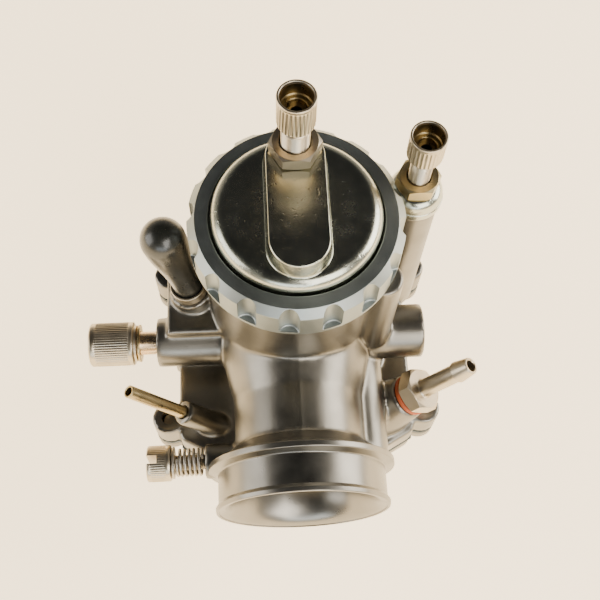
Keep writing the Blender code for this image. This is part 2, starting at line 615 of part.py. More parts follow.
def casting_additions():
    """Everything the main casting is made of besides its barrel."""
    ahead = placement(axis=(0.0, -1.0, 0.0), origin=(0.0, 0.0, VENTURI_HEIGHT))
    behind = placement(axis=(0.0, 1.0, 0.0), origin=(0.0, 0.0, VENTURI_HEIGHT))
    yield helper("bell_form", turned(bell_outline(), LARGE_SIDES), ahead)
    bead_start = SPIGOT_LENGTH - SPIGOT_BEAD_WIDTH
    spigot = [(0.0, 10.0), (SPIGOT_RADIUS, 10.0), (SPIGOT_RADIUS, bead_start)]
    spigot += [(SPIGOT_BEAD_RADIUS, bead_start + 1.0), (SPIGOT_BEAD_RADIUS, SPIGOT_LENGTH - 0.8)]
    spigot += [(SPIGOT_BEAD_RADIUS - 0.8, SPIGOT_LENGTH), (0.0, SPIGOT_LENGTH)]
    yield helper("spigot_form", turned(spigot, LARGE_SIDES), behind)
    yield helper("flange_form", prism(flange_outline(), FLANGE_FACE, FLANGE_TOP))
    keel = block((-15.0, -44.0, FLANGE_FACE + 1.0), (15.0, 30.0, VENTURI_HEIGHT - 4.0))
    yield helper("keel_form", keel)
    for index, (x, y) in enumerate(ear_centres()):
        ear = rod(EAR_RADIUS, FLANGE_FACE, FLANGE_TOP + 1.0, SMALL_SIDES)
        yield helper(f"ear_form_{index}", ear, placement((x, y, 0.0)))
    web = block((6.0, -BELL_RIDGE_Y, FLANGE_FACE + 3.0), (25.6, -4.0, VENTURI_HEIGHT + 1.5))
    yield helper("air_web_form", web)
    yield helper_rod("air_passage_form", 5.0, (22.6, -12.5, FLANGE_FACE + 4.0),
                     (22.6, -12.5, NUT_BOTTOM - 1.0))
    side_block = block((-37.4, -12.0, FLANGE_FACE + 2.0), (-14.0, 8.5, VENTURI_HEIGHT + 10.5))
    yield helper("side_block_form", side_block)
    yield helper_rod("idle_boss_form", IDLE_BOSS_RADIUS, (-16.0, IDLE_Y, VENTURI_HEIGHT),
                     (IDLE_BOSS_X, IDLE_Y, VENTURI_HEIGHT), MEDIUM_SIDES)
    yield helper_rod("plug_boss_form", PLUG_BOSS_RADIUS, (16.0, IDLE_Y, PLUG_Z),
                     (PLUG_BOSS_X, IDLE_Y, PLUG_Z), MEDIUM_SIDES)
    tower = [(0.0, FLANGE_FACE + 4.5), (TOWER_RADIUS, FLANGE_FACE + 4.5), (TOWER_RADIUS, TOWER_TOP)]
    tower += [(TOWER_NECK_RADIUS, TOWER_TOP), (TOWER_NECK_RADIUS, TOWER_NECK_TOP), (0.0, TOWER_NECK_TOP)]
    yield helper("tower_form", turned(tower, MEDIUM_SIDES), placement((CHOKE_X, CHOKE_Y, 0.0)))
    tower_web = block((14.0, CHOKE_Y - 5.0, FLANGE_FACE + 5.0), (CHOKE_X, CHOKE_Y + 5.0, TOWER_TOP - 4.0))
    yield helper("tower_web_form", tower_web)
    yield helper_rod("mixture_boss_form", MIXTURE_BOSS_RADIUS, (-12.0, MIXTURE_Y, MIXTURE_Z),
                     (MIXTURE_BOSS_X, MIXTURE_Y, MIXTURE_Z), SMALL_SIDES)
    yield helper_rod("vent_boss_form", VENT_BOSS_RADIUS, vent_point(-16.0), vent_point(0.0), SMALL_SIDES)
    inlet_boss = [(0.0, -22.0), (INLET_BOSS_RADIUS + 2.5, -22.0)]
    inlet_boss += [(INLET_BOSS_RADIUS, INLET_SEAT), (0.0, INLET_SEAT)]
    yield helper("inlet_boss_form", turned(inlet_boss, MEDIUM_SIDES),
                 placement(inlet_point(0.0), INLET_DIRECTION))
    yield helper_rod("primer_boss_form", PRIMER_BOSS_RADIUS, primer_point(-12.0), primer_point(0.0),
                     MEDIUM_SIDES)
    jet_boss = rod(JET_BOSS_RADIUS, JET_BOSS_BOTTOM, FLANGE_FACE + 2.0, SMALL_SIDES)
    yield helper("jet_boss_form", jet_boss)
    for name, y in (("pilot", -SMALL_JET_Y), ("starter", SMALL_JET_Y)):
        boss = rod(SMALL_JET_BOSS_RADIUS, FLANGE_FACE - SMALL_JET_BOSS_LENGTH, FLANGE_FACE + 2.0,
                   SMALL_SIDES)
        yield helper(f"{name}_boss_form", boss, placement((0.0, y, 0.0)))
    post_outer_x = FLOAT_POST_INNER_X + FLOAT_POST_THICKNESS
    for side, name in ((-1, "left"), (1, "right")):
        near, far = sorted((side * FLOAT_POST_INNER_X, side * post_outer_x))
        low = (near, FLOAT_PIN_Y - FLOAT_POST_RADIUS, FLOAT_PIN_Z - FLOAT_POST_RADIUS)
        high = (far, FLOAT_PIN_Y + FLOAT_POST_RADIUS, FLANGE_FACE + 2.0)
        yield helper(f"{name}_post_form", block(low, high))


def casting_cuts():
    """Bores, passages and screw holes of the main casting."""
    ahead = placement(axis=(0.0, -1.0, 0.0), origin=(0.0, 0.0, VENTURI_HEIGHT))
    yield helper("slide_bore", rod(SLIDE_BORE_RADIUS, BORE_FLOOR, BARREL_TOP + OVERCUT, LARGE_SIDES))
    yield helper("venturi_bore", rod(VENTURI_RADIUS, -SPIGOT_LENGTH - OVERCUT, BELL_LENGTH, LARGE_SIDES,
                                     0.5), ahead)
    yield helper("bell_flare", turned(bell_mouth(), LARGE_SIDES, 0.5), ahead)
    jet_hole = rod(JET_RADIUS + FIT_GAP, JET_BOSS_BOTTOM - OVERCUT, BORE_FLOOR + OVERCUT, SMALL_SIDES)
    yield helper("jet_hole", jet_hole)
    small_hole_top = FLANGE_FACE - SMALL_JET_BOSS_LENGTH + SMALL_JET_LENGTH * 0.6 + FIT_GAP
    for name, y in (("pilot", -SMALL_JET_Y), ("starter", SMALL_JET_Y)):
        hole_bottom = FLANGE_FACE - SMALL_JET_BOSS_LENGTH - OVERCUT
        hole = rod(SMALL_JET_RADIUS + FIT_GAP, hole_bottom, small_hole_top, SMALL_SIDES)
        yield helper(f"{name}_hole", hole, placement((0.0, y, 0.0)))
    post_outer_x = FLOAT_POST_INNER_X + FLOAT_POST_THICKNESS + OVERCUT
    yield helper_rod("float_pin_hole", FLOAT_PIN_RADIUS + FIT_GAP,
                     (-post_outer_x, FLOAT_PIN_Y, FLOAT_PIN_Z),
                     (post_outer_x, FLOAT_PIN_Y, FLOAT_PIN_Z), TINY_SIDES)
    seat_hole_top = FUEL_PASSAGE_Z + FUEL_PASSAGE_RADIUS
    yield helper_rod("valve_hole", VALVE_SEAT_THREAD_RADIUS + FIT_GAP,
                     (0.0, VALVE_Y, FLANGE_FACE - OVERCUT),
                     (0.0, VALVE_Y, seat_hole_top))
    turn_point = inlet_point((FUEL_PASSAGE_Z - VENTURI_HEIGHT) / INLET_DIRECTION.z)
    yield helper_rod("cross_passage", FUEL_PASSAGE_RADIUS, turn_point, (0.0, VALVE_Y, FUEL_PASSAGE_Z),
                     TINY_SIDES)
    yield helper_rod("inlet_passage", FUEL_PASSAGE_RADIUS, turn_point, inlet_point(INLET_SEAT), TINY_SIDES)
    yield helper_rod("inlet_thread_hole", INLET_THREAD_RADIUS + FIT_GAP,
                     inlet_point(INLET_SEAT - INLET_THREAD_LENGTH - 1.0), inlet_point(INLET_SEAT + OVERCUT))
    choke_axis = Vector((CHOKE_X, CHOKE_Y, 0.0))
    yield helper("choke_bore", rod(CHOKE_BORE_RADIUS + SLIDING_GAP, CHOKE_FLOOR, TOWER_NECK_TOP + OVERCUT),
                 placement(choke_axis))
    choke_exit = CHOKE_FLOOR + 3.0
    yield helper_rod("choke_passage", 1.5, (CHOKE_X, CHOKE_Y, choke_exit), (12.0, CHOKE_Y, choke_exit),
                     TINY_SIDES)
    yield helper_rod("idle_neck_hole", IDLE_NECK_RADIUS + FIT_GAP,
                     (IDLE_BOSS_X - OVERCUT, IDLE_Y, VENTURI_HEIGHT),
                     (IDLE_STEP_X + 3.0, IDLE_Y, VENTURI_HEIGHT))
    yield helper_rod("idle_tip_hole", IDLE_TIP_RADIUS + FIT_GAP,
                     (IDLE_STEP_X + 2.0, IDLE_Y, VENTURI_HEIGHT),
                     (IDLE_TIP_X + 2.5, IDLE_Y, VENTURI_HEIGHT))
    yield helper_rod("mixture_hole", MIXTURE_SHANK_RADIUS + FIT_GAP,
                     (MIXTURE_BOSS_X - OVERCUT, MIXTURE_Y, MIXTURE_Z),
                     (MIXTURE_TIP_X + 1.3, MIXTURE_Y, MIXTURE_Z), SMALL_SIDES)
    yield helper_rod("vent_hole", VENT_RADIUS + FIT_GAP, vent_point(-VENT_SUNK - FIT_GAP),
                     vent_point(OVERCUT))
    vent_exit = vent_point((FLANGE_FACE - OVERCUT - VENTURI_HEIGHT - VENT_ROOT.z) / VENT_DIRECTION.z)
    yield helper_rod("vent_passage", VENT_HOLE_RADIUS, vent_exit, vent_point(-VENT_SUNK), TINY_SIDES)
    yield helper_rod("primer_hole", PRIMER_ROD_RADIUS + FIT_GAP,
                     primer_point(primer_depth(FLANGE_FACE - OVERCUT)),
                     primer_point(OVERCUT), SMALL_SIDES)
    for index, (x, y) in enumerate(ear_centres()):
        start, end = FLANGE_FACE - OVERCUT, FLANGE_TOP + 1.0 + OVERCUT
        hole = rod(BOWL_SCREW_RADIUS + FIT_GAP, start, end, TINY_SIDES)
        yield helper(f"ear_hole_{index}", hole, placement((x, y, 0.0)))
    pin_z = guide_pin_height()
    yield helper_rod("guide_pin_hole", GUIDE_PIN_RADIUS + FIT_GAP, (0.0, SLIDE_RADIUS - 3.0, pin_z),
                     (0.0, BARREL_RADIUS + OVERCUT, pin_z), TINY_SIDES)
    yield helper_rod("plug_hole", PLUG_RADIUS + FIT_GAP,
                     (PLUG_BOSS_X - PLUG_LENGTH - FIT_GAP, IDLE_Y, PLUG_Z),
                     (PLUG_BOSS_X + OVERCUT, IDLE_Y, PLUG_Z))


def guide_pin_height():
    """Between the venturi's roof and the closed slide's top, so that the keyway never leaves the pin."""
    return 0.5 * (SLIDE_BOTTOM + SLIDE_LIFT + SLIDE_TOP)


def make_body(metals):
    barrel = rod(BARREL_RADIUS, FLANGE_FACE + 1.5, BARREL_TOP, LARGE_SIDES)
    body = place_mesh("body_casting", barrel, metals["cast"])
    add(body, *casting_additions())
    cut(body, *casting_cuts())


# ---------------------------------------------------------------- throttle


def make_slide(metals):
    outline = [(0.0, SLIDE_BOTTOM), (SLIDE_RADIUS, SLIDE_BOTTOM), (SLIDE_RADIUS, SLIDE_TOP)]
    inner = SLIDE_RADIUS - SLIDE_WALL
    outline += [(inner, SLIDE_TOP), (inner, SLIDE_FLOOR_TOP), (0.0, SLIDE_FLOOR_TOP)]
    slide = place_mesh("throttle_slide", turned(outline, LARGE_SIDES), metals["plated"])
    needle_hole = rod(NEEDLE_RADIUS + FIT_GAP, SLIDE_BOTTOM - OVERCUT, SLIDE_FLOOR_TOP + OVERCUT,
                      TINY_SIDES)
    nozzle_relief = rod(JET_RADIUS + 1.0, SLIDE_BOTTOM - OVERCUT, JET_TOP + 0.8, SMALL_SIDES)
    nipple_hole = rod(2.6, SLIDE_BOTTOM - OVERCUT, SLIDE_FLOOR_TOP + OVERCUT, SMALL_SIDES)
    keyway = block((-SLIDE_KEYWAY_WIDTH / 2, SLIDE_RADIUS - SLIDE_KEYWAY_DEPTH, SLIDE_BOTTOM - OVERCUT),
                   (SLIDE_KEYWAY_WIDTH / 2, SLIDE_RADIUS + OVERCUT, SLIDE_TOP + OVERCUT))
    reach = SLIDE_RADIUS + 2.0
    ramp = prism([(-reach, -reach), (reach, -reach), (reach, -2.0), (-reach, -2.0)],
                 SLIDE_BOTTOM - 5.0, SLIDE_BOTTOM)
    for vertex in ramp.verts:
        if vertex.co.z > SLIDE_BOTTOM - 1.0 and vertex.co.y < -reach + 1.0:
            vertex.co.z += SLIDE_CUTAWAY
    idle_slot = block((-SLIDE_RADIUS - OVERCUT, IDLE_Y - IDLE_TIP_RADIUS - 0.6, SLIDE_BOTTOM - OVERCUT),
                      (IDLE_TIP_X + 5.5, IDLE_Y + IDLE_TIP_RADIUS + 0.6,
                       VENTURI_HEIGHT + IDLE_TIP_RADIUS + 2.0))
    cut(slide, helper("slide_needle_hole", needle_hole), helper("slide_nozzle_relief", nozzle_relief),
        helper("slide_nipple_hole", nipple_hole, placement((0.0, THROTTLE_CABLE_Y, 0.0))),
        helper("slide_keyway", keyway), helper("slide_cutaway", ramp), helper("slide_idle_slot", idle_slot))


def make_slide_fittings(metals):
    pin_z = guide_pin_height()
    pin_start = SLIDE_RADIUS - SLIDE_KEYWAY_DEPTH + 0.6
    pin = rod(GUIDE_PIN_RADIUS, 0.0, BARREL_RADIUS - 0.5 - pin_start, TINY_SIDES)
    place_mesh("slide_guide_pin", pin, metals["steel"], placement((0.0, pin_start, pin_z), (0.0, 1.0, 0.0)))
    needle_top = SLIDE_FLOOR_TOP + NEEDLE_HEAD_ABOVE_FLOOR
    groove_bottom = SLIDE_FLOOR_TOP + FIT_GAP
    groove_top = groove_bottom + CLIP_THICKNESS + 0.2
    groove_radius = NEEDLE_RADIUS - 0.45
    taper_start = BORE_FLOOR - 4.0
    needle = [(0.0, NEEDLE_BOTTOM), (NEEDLE_TIP_RADIUS, NEEDLE_BOTTOM), (NEEDLE_RADIUS, taper_start)]
    needle += [(NEEDLE_RADIUS, groove_bottom - 0.1), (groove_radius, groove_bottom - 0.1)]
    needle += [(groove_radius, groove_top), (NEEDLE_RADIUS, groove_top), (NEEDLE_RADIUS, needle_top)]
    place_mesh("jet_needle", turned(needle + [(0.0, needle_top)], TINY_SIDES), metals["brass"])
    clip = sleeve(CLIP_RADIUS, groove_radius + 0.2, groove_bottom, groove_bottom + CLIP_THICKNESS,
                  SMALL_SIDES)
    clip_item = place_mesh("needle_clip", clip, metals["steel"])
    mouth = block((-0.6, 0.0, groove_bottom - OVERCUT), (0.6, CLIP_RADIUS + 1.0, groove_bottom + 2.0))
    cut(clip_item, helper("clip_mouth", mouth))
    plate_bottom = groove_bottom + CLIP_THICKNESS + FIT_GAP
    plate = sleeve(RETAINER_RADIUS, NEEDLE_RADIUS + FIT_GAP, plate_bottom,
                   plate_bottom + RETAINER_THICKNESS)
    place_mesh("needle_retainer", plate, metals["steel"])
    spring = coil(SLIDE_SPRING_RADIUS, SLIDE_SPRING_WIRE, SLIDE_FLOOR_TOP + FIT_GAP,
                  COVER_UNDERSIDE - FIT_GAP,
                  SLIDE_SPRING_TURNS, 12, 4)
    place_mesh("slide_spring", spring, metals["steel"])


# ---------------------------------------------------------------- top cover and ring nut


def make_cover(metals):
    inner = COVER_BORE_RADIUS
    shoulder = COVER_TOP - 2.6
    outline = [(inner, COVER_BOTTOM), (COVER_FLANGE_RADIUS, COVER_BOTTOM),
               (COVER_FLANGE_RADIUS, COVER_FLANGE_TOP)]
    outline += [(COVER_DOME_RADIUS, COVER_FLANGE_TOP), (COVER_DOME_RADIUS, shoulder)]
    outline += [(COVER_DOME_RADIUS - 0.4, COVER_TOP - 1.2), (COVER_DOME_RADIUS - 1.3, COVER_TOP - 0.3)]
    outline += [(COVER_TOP_RADIUS, COVER_TOP), (0.0, COVER_TOP), (0.0, COVER_UNDERSIDE),
                (inner, COVER_UNDERSIDE)]
    cover = place_mesh("top_cover", turned(outline, LARGE_SIDES), metals["polished"])
    rib = prism(stadium(RIB_HALF_WIDTH, RIB_FRONT_Y, RIB_REAR_Y), COVER_TOP - 1.5, RIB_TOP,
                stadium(RIB_TOP_HALF_WIDTH, RIB_FRONT_Y + 0.7, RIB_REAR_Y - 0.7))
    add(cover, helper("rib_form", rib))
    cable_hole = rod(THROTTLE_THREAD_RADIUS + FIT_GAP, COVER_UNDERSIDE - OVERCUT, RIB_TOP + OVERCUT,
                     SMALL_SIDES)
    cut(cover, helper("cover_cable_hole", cable_hole, placement((0.0, THROTTLE_CABLE_Y, 0.0))))
    seal = sleeve(COVER_FLANGE_RADIUS, SLIDE_BORE_RADIUS + 0.4, SEAL_BOTTOM,
                  SEAL_BOTTOM + SEAL_THICKNESS, LARGE_SIDES)
    place_mesh("cover_seal", seal, metals["rubber"])


def make_ring_nut(metals):
    bore = BARREL_RADIUS + FIT_GAP
    lip_bottom = NUT_TOP - NUT_LIP
    outline = [(bore, NUT_BOTTOM), (NUT_RADIUS - 0.4, NUT_BOTTOM), (NUT_RADIUS, NUT_BOTTOM + 0.4)]
    outline += [(NUT_RADIUS, NUT_TOP - NUT_CHAMFER), (NUT_RADIUS - NUT_CHAMFER, NUT_TOP)]
    outline += [(NUT_OPENING_RADIUS, NUT_TOP), (NUT_OPENING_RADIUS, lip_bottom), (bore, lip_bottom)]
    nut = place_mesh("ring_nut", turned(outline, LARGE_SIDES), metals["satin"])
    centre = NUT_RADIUS - NUT_FLUTE_DEPTH + NUT_FLUTE_RADIUS
    for index in range(NUT_FLUTES):
        angle = math.radians(-90 + NUT_FLUTE_TURN + 360 * index / NUT_FLUTES)
        flute = rod(NUT_FLUTE_RADIUS, NUT_BOTTOM + NUT_FLUTE_LEDGE, NUT_TOP + OVERCUT, TINY_SIDES)
        where = placement((centre * math.cos(angle), centre * math.sin(angle), 0.0))
        cut(nut, helper(f"nut_flute_{index}", flute, where))


def make_adjuster(name, x, y, head_bottom, head_length, thread_radius, thread_bottom, ridges, metal):
    """A hollow knurled cable adjuster on a threaded neck."""
    head_top = head_bottom + head_length
    frame = placement((x, y, 0.0))
    head = knurled(ADJUSTER_HEAD_RADIUS, 0.3, ridges, head_bottom, head_top, 0.45)
    adjuster = place_mesh(name, head, metal, frame)
    neck = rod(thread_radius, thread_bottom, head_bottom + 1.0, SMALL_SIDES)
    cup = rod(ADJUSTER_CUP_RADIUS, head_top - ADJUSTER_CUP_DEPTH, head_top + OVERCUT, SMALL_SIDES)
    cable_hole = rod(CABLE_HOLE_RADIUS, thread_bottom - OVERCUT, head_top - ADJUSTER_CUP_DEPTH + 1.0,
                     TINY_SIDES)
    add(adjuster, helper(f"{name}_neck", neck, frame))
    cut(adjuster, helper(f"{name}_cup", cup, frame), helper(f"{name}_cable_hole", cable_hole, frame))


def make_hex_nut(name, across_flats, hole_radius, bottom, top, frame, metal):
    nut = place_mesh(name, rod(hexagon_radius(across_flats), bottom, top, 6), metal, frame)
    hole = rod(hole_radius, bottom - OVERCUT, top + OVERCUT, SMALL_SIDES)
    cut(nut, helper(f"{name}_hole", hole, frame))
    return nut


def make_throttle_cable_parts(metals):
    frame = placement((0.0, THROTTLE_CABLE_Y, 0.0))
    locknut_top = LOCKNUT_BOTTOM + LOCKNUT_HEIGHT
    make_hex_nut("throttle_adjuster_locknut", LOCKNUT_ACROSS_FLATS, THROTTLE_THREAD_RADIUS + FIT_GAP,
                 LOCKNUT_BOTTOM, locknut_top, frame, metals["nickel"])
    make_adjuster("throttle_cable_adjuster", 0.0, THROTTLE_CABLE_Y, locknut_top + THROTTLE_THREAD_SHOWN,
                  THROTTLE_HEAD_LENGTH, THROTTLE_THREAD_RADIUS, RIB_TOP - THROTTLE_THREAD_SUNK, 24,
                  metals["nickel"])


# ---------------------------------------------------------------- choke


def make_choke(metals):
    frame = placement((CHOKE_X, CHOKE_Y, 0.0))
    waist = CHOKE_PLUNGER_BOTTOM + 8.0
    plunger = [(0.0, CHOKE_PLUNGER_BOTTOM), (CHOKE_BORE_RADIUS - 1.0, CHOKE_PLUNGER_BOTTOM)]
    plunger += [(CHOKE_BORE_RADIUS, CHOKE_PLUNGER_BOTTOM + 1.0), (CHOKE_BORE_RADIUS, waist)]
    plunger += [(CHOKE_BORE_RADIUS - 1.0, waist + 1.0), (CHOKE_BORE_RADIUS - 1.0, waist + 5.0)]
    plunger += [(CHOKE_BORE_RADIUS, waist + 6.0), (CHOKE_BORE_RADIUS, CHOKE_PLUNGER_TOP),
                (0.0, CHOKE_PLUNGER_TOP)]
    place_mesh("choke_plunger", turned(plunger, SMALL_SIDES), metals["brass"], frame)
    spring = coil(3.4, 0.45, CHOKE_PLUNGER_TOP + FIT_GAP, CHOKE_NUT_THREAD_BOTTOM - FIT_GAP, 5, 8, 4)
    place_mesh("choke_spring", spring, metals["steel"], frame)
    inner = TOWER_NECK_RADIUS + FIT_GAP
    cap_hole = CHOKE_NUT_THREAD_RADIUS + FIT_GAP
    cap_roof = CHOKE_CAP_UPPER - CHOKE_CAP_TOP
    cap = [(inner, CHOKE_CAP_BOTTOM), (CHOKE_CAP_RADIUS - 0.6, CHOKE_CAP_BOTTOM)]
    cap += [(CHOKE_CAP_RADIUS, CHOKE_CAP_BOTTOM + 0.8), (CHOKE_CAP_RADIUS, CHOKE_CAP_UPPER - 3.4)]
    cap += [(CHOKE_CAP_RADIUS - 0.5, CHOKE_CAP_UPPER - 1.6),
            (CHOKE_CAP_RADIUS - 1.6, CHOKE_CAP_UPPER - 0.3)]
    cap += [(CHOKE_CAP_RADIUS - 2.6, CHOKE_CAP_UPPER), (cap_hole, CHOKE_CAP_UPPER), (cap_hole, cap_roof)]
    place_mesh("choke_cap", turned(cap + [(inner, cap_roof)], MEDIUM_SIDES), metals["polished"], frame)
    hex_radius = hexagon_radius(CHOKE_NUT_ACROSS_FLATS)
    nut = place_mesh("choke_cap_nut", rod(hex_radius, CHOKE_NUT_BOTTOM, CHOKE_NUT_TOP, 6),
                     metals["brass"], frame)
    thread = rod(CHOKE_NUT_THREAD_RADIUS, CHOKE_NUT_THREAD_BOTTOM, CHOKE_NUT_BOTTOM + 1.0, SMALL_SIDES)
    bore = rod(CHOKE_NECK_RADIUS + FIT_GAP, CHOKE_NUT_THREAD_BOTTOM - OVERCUT, CHOKE_NUT_TOP + OVERCUT,
               SMALL_SIDES)
    add(nut, helper("choke_nut_thread", thread, frame))
    cut(nut, helper("choke_nut_bore", bore, frame))
    make_adjuster("choke_cable_adjuster", CHOKE_X, CHOKE_Y, CHOKE_NUT_TOP + CHOKE_NECK_SHOWN,
                  CHOKE_HEAD_LENGTH,
                  CHOKE_NECK_RADIUS, CHOKE_NUT_TOP - CHOKE_NECK_SUNK, 22, metals["nickel"])


# ---------------------------------------------------------------- screws on the sides


def make_idle_screw(metals):
    """Local Z points out of the casting, towards -X, from the tip."""
    frame = placement((IDLE_TIP_X, IDLE_Y, VENTURI_HEIGHT), (-1.0, 0.0, 0.0))
    knob_start = IDLE_TIP_X - IDLE_BOSS_X + IDLE_NECK_SHOWN
    knob_end = knob_start + IDLE_KNOB_LENGTH
    knob = knurled(IDLE_KNOB_RADIUS, 0.3, 28, knob_start, knob_end, 1.0)
    screw = place_mesh("idle_speed_screw", knob, metals["nickel"], frame)
    neck_start = IDLE_TIP_X - IDLE_STEP_X
    shank = [(0.0, 0.0), (IDLE_TIP_RADIUS - 1.2, 0.0), (IDLE_TIP_RADIUS, 2.0),
             (IDLE_TIP_RADIUS, neck_start)]
    shank += [(IDLE_NECK_RADIUS, neck_start), (IDLE_NECK_RADIUS, knob_start + 1.0), (0.0, knob_start + 1.0)]
    add(screw, helper("idle_shank", turned(shank, SMALL_SIDES), frame))
    washer_end = knob_start - FIT_GAP
    washer = sleeve(IDLE_WASHER_RADIUS, IDLE_NECK_RADIUS + FIT_GAP, washer_end - IDLE_WASHER_THICKNESS,
                    washer_end)
    place_mesh("idle_screw_washer", washer, metals["brass"], frame)


def make_mixture_screw(metals):
    """Local Z points out of the casting, towards -X, from the boss's face."""
    frame = placement((MIXTURE_BOSS_X, MIXTURE_Y, MIXTURE_Z), (-1.0, 0.0, 0.0))
    spring_end = FIT_GAP + MIXTURE_SPRING_LENGTH
    spring = coil(MIXTURE_SPRING_RADIUS, MIXTURE_SPRING_WIRE, FIT_GAP, spring_end, MIXTURE_SPRING_TURNS,
                  8, 4)
    place_mesh("mixture_screw_spring", spring, metals["steel"], frame)
    washer_start = spring_end + FIT_GAP
    washer_end = washer_start + MIXTURE_WASHER_THICKNESS
    washer = sleeve(MIXTURE_HEAD_RADIUS - 0.6, MIXTURE_SHANK_RADIUS + FIT_GAP, washer_start, washer_end,
                    SMALL_SIDES)
    place_mesh("mixture_screw_washer", washer, metals["steel"], frame)
    head_start = washer_end + FIT_GAP
    head_end = head_start + MIXTURE_HEAD_LENGTH
    tip = MIXTURE_BOSS_X - MIXTURE_TIP_X
    screw = [(0.0, tip), (0.6, tip), (MIXTURE_SHANK_RADIUS, tip + 3.0), (MIXTURE_SHANK_RADIUS, head_start)]
    screw += [(MIXTURE_HEAD_RADIUS - 0.5, head_start), (MIXTURE_HEAD_RADIUS, head_start + 0.5)]
    screw += [(MIXTURE_HEAD_RADIUS, head_end - 0.6), (MIXTURE_HEAD_RADIUS - 0.6, head_end), (0.0, head_end)]
    item = place_mesh("mixture_screw", turned(screw, 24), metals["nickel"], frame)
    slot = block((-MIXTURE_HEAD_RADIUS - OVERCUT, -MIXTURE_SLOT_WIDTH / 2, head_end - MIXTURE_SLOT_DEPTH),
                 (MIXTURE_HEAD_RADIUS + OVERCUT, MIXTURE_SLOT_WIDTH / 2, head_end + OVERCUT))
    cut(item, helper("mixture_slot", slot, frame))


def make_side_plug(metals):
    """Slotted blank plug; local Z points out of the boss, towards +X."""
    frame = placement((PLUG_BOSS_X, IDLE_Y, PLUG_Z), (1.0, 0.0, 0.0))
    item = place_mesh("side_plug", rod(PLUG_RADIUS, -PLUG_LENGTH, -0.4, SMALL_SIDES), metals["steel"],
                      frame)
    slot = block((-PLUG_RADIUS - OVERCUT, -0.6, -1.6), (PLUG_RADIUS + OVERCUT, 0.6, OVERCUT))
    cut(item, helper("side_plug_slot", slot, frame))


# ---------------------------------------------------------------- tubes and primer


def make_inlet(metals):
    frame = placement(inlet_point(INLET_SEAT), INLET_DIRECTION)
    washer_end = FIT_GAP + INLET_WASHER_THICKNESS
    washer = sleeve(INLET_WASHER_RADIUS, INLET_THREAD_RADIUS + FIT_GAP, FIT_GAP, washer_end)
    place_mesh("fuel_inlet_washer", washer, metals["fibre"], frame)
    hex_start = washer_end + FIT_GAP
    hex_end = hex_start + INLET_HEX_LENGTH
    tube_end = hex_end + INLET_TUBE_LENGTH
    hexagon = rod(hexagon_radius(INLET_HEX_ACROSS_FLATS), hex_start, hex_end, 6)
    fitting = place_mesh("fuel_inlet", hexagon, metals["nickel"], frame)
    tube = [(0.0, -INLET_THREAD_LENGTH), (INLET_THREAD_RADIUS, -INLET_THREAD_LENGTH)]
    tube += [(INLET_THREAD_RADIUS, hex_start + 1.0), (INLET_TUBE_RADIUS, hex_start + 1.0)]
    tube += [(INLET_TUBE_RADIUS, tube_end - 5.5), (INLET_BARB_RADIUS, tube_end - 5.5)]
    tube += [(INLET_TUBE_RADIUS - 0.2, tube_end), (0.0, tube_end)]
    hole = rod(INLET_HOLE_RADIUS, -INLET_THREAD_LENGTH - OVERCUT, tube_end + OVERCUT, TINY_SIDES)
    add(fitting, helper("inlet_tube_form", turned(tube, SMALL_SIDES), frame))
    cut(fitting, helper("inlet_tube_hole", hole, frame))


def make_vent(metals):
    tube = sleeve(VENT_RADIUS, VENT_HOLE_RADIUS, -VENT_SUNK, VENT_LENGTH, SMALL_SIDES)
    place_mesh("vent_tube", tube, metals["brass"], placement(vent_point(0.0), VENT_DIRECTION))


def make_primer(metals):
    frame = placement(primer_point(0.0), PRIMER_DIRECTION)
    rod_hole = PRIMER_ROD_RADIUS + FIT_GAP
    nipple_top = FIT_GAP + PRIMER_NIPPLE_LENGTH
    cup_floor = FIT_GAP + 1.0
    cup_inner = BOOT_BASE_RADIUS + FIT_GAP
    collar = [(rod_hole, FIT_GAP), (PRIMER_COLLAR_RADIUS, FIT_GAP)]
    collar += [(PRIMER_COLLAR_RADIUS, FIT_GAP + PRIMER_COLLAR_HEIGHT),
               (cup_inner, FIT_GAP + PRIMER_COLLAR_HEIGHT)]
    collar += [(cup_inner, cup_floor), (PRIMER_NIPPLE_RADIUS, cup_floor)]
    collar += [(PRIMER_NIPPLE_RADIUS, nipple_top), (rod_hole, nipple_top)]
    place_mesh("primer_collar", turned(collar, MEDIUM_SIDES), metals["nickel"], frame)
    boot_bottom = cup_floor + FIT_GAP
    boot_top = boot_bottom + BOOT_LENGTH
    place_mesh("dust_boot", turned(boot_outline(boot_bottom, boot_top), SMALL_SIDES), metals["rubber"],
               frame)
    button_top = boot_top - BOOT_WALL - 2.0
    button_bottom = button_top - PRIMER_BUTTON_LENGTH
    rod_bottom = primer_depth(FLANGE_FACE + 1.5)
    rod_outline = [(0.0, rod_bottom), (PRIMER_ROD_RADIUS, rod_bottom), (PRIMER_ROD_RADIUS, button_bottom)]
    rod_outline += [(PRIMER_BUTTON_RADIUS, button_bottom), (PRIMER_BUTTON_RADIUS, button_top - 1.0)]
    rod_outline += [(PRIMER_BUTTON_RADIUS - 1.2, button_top), (0.0, button_top)]
    place_mesh("primer_rod", turned(rod_outline, SMALL_SIDES), metals["steel"], frame)
    spring = coil(2.3, 0.35, nipple_top + FIT_GAP, button_bottom - PRIMER_TRAVEL - FIT_GAP, 5, 8, 4)
    place_mesh("primer_spring", spring, metals["steel"], frame)


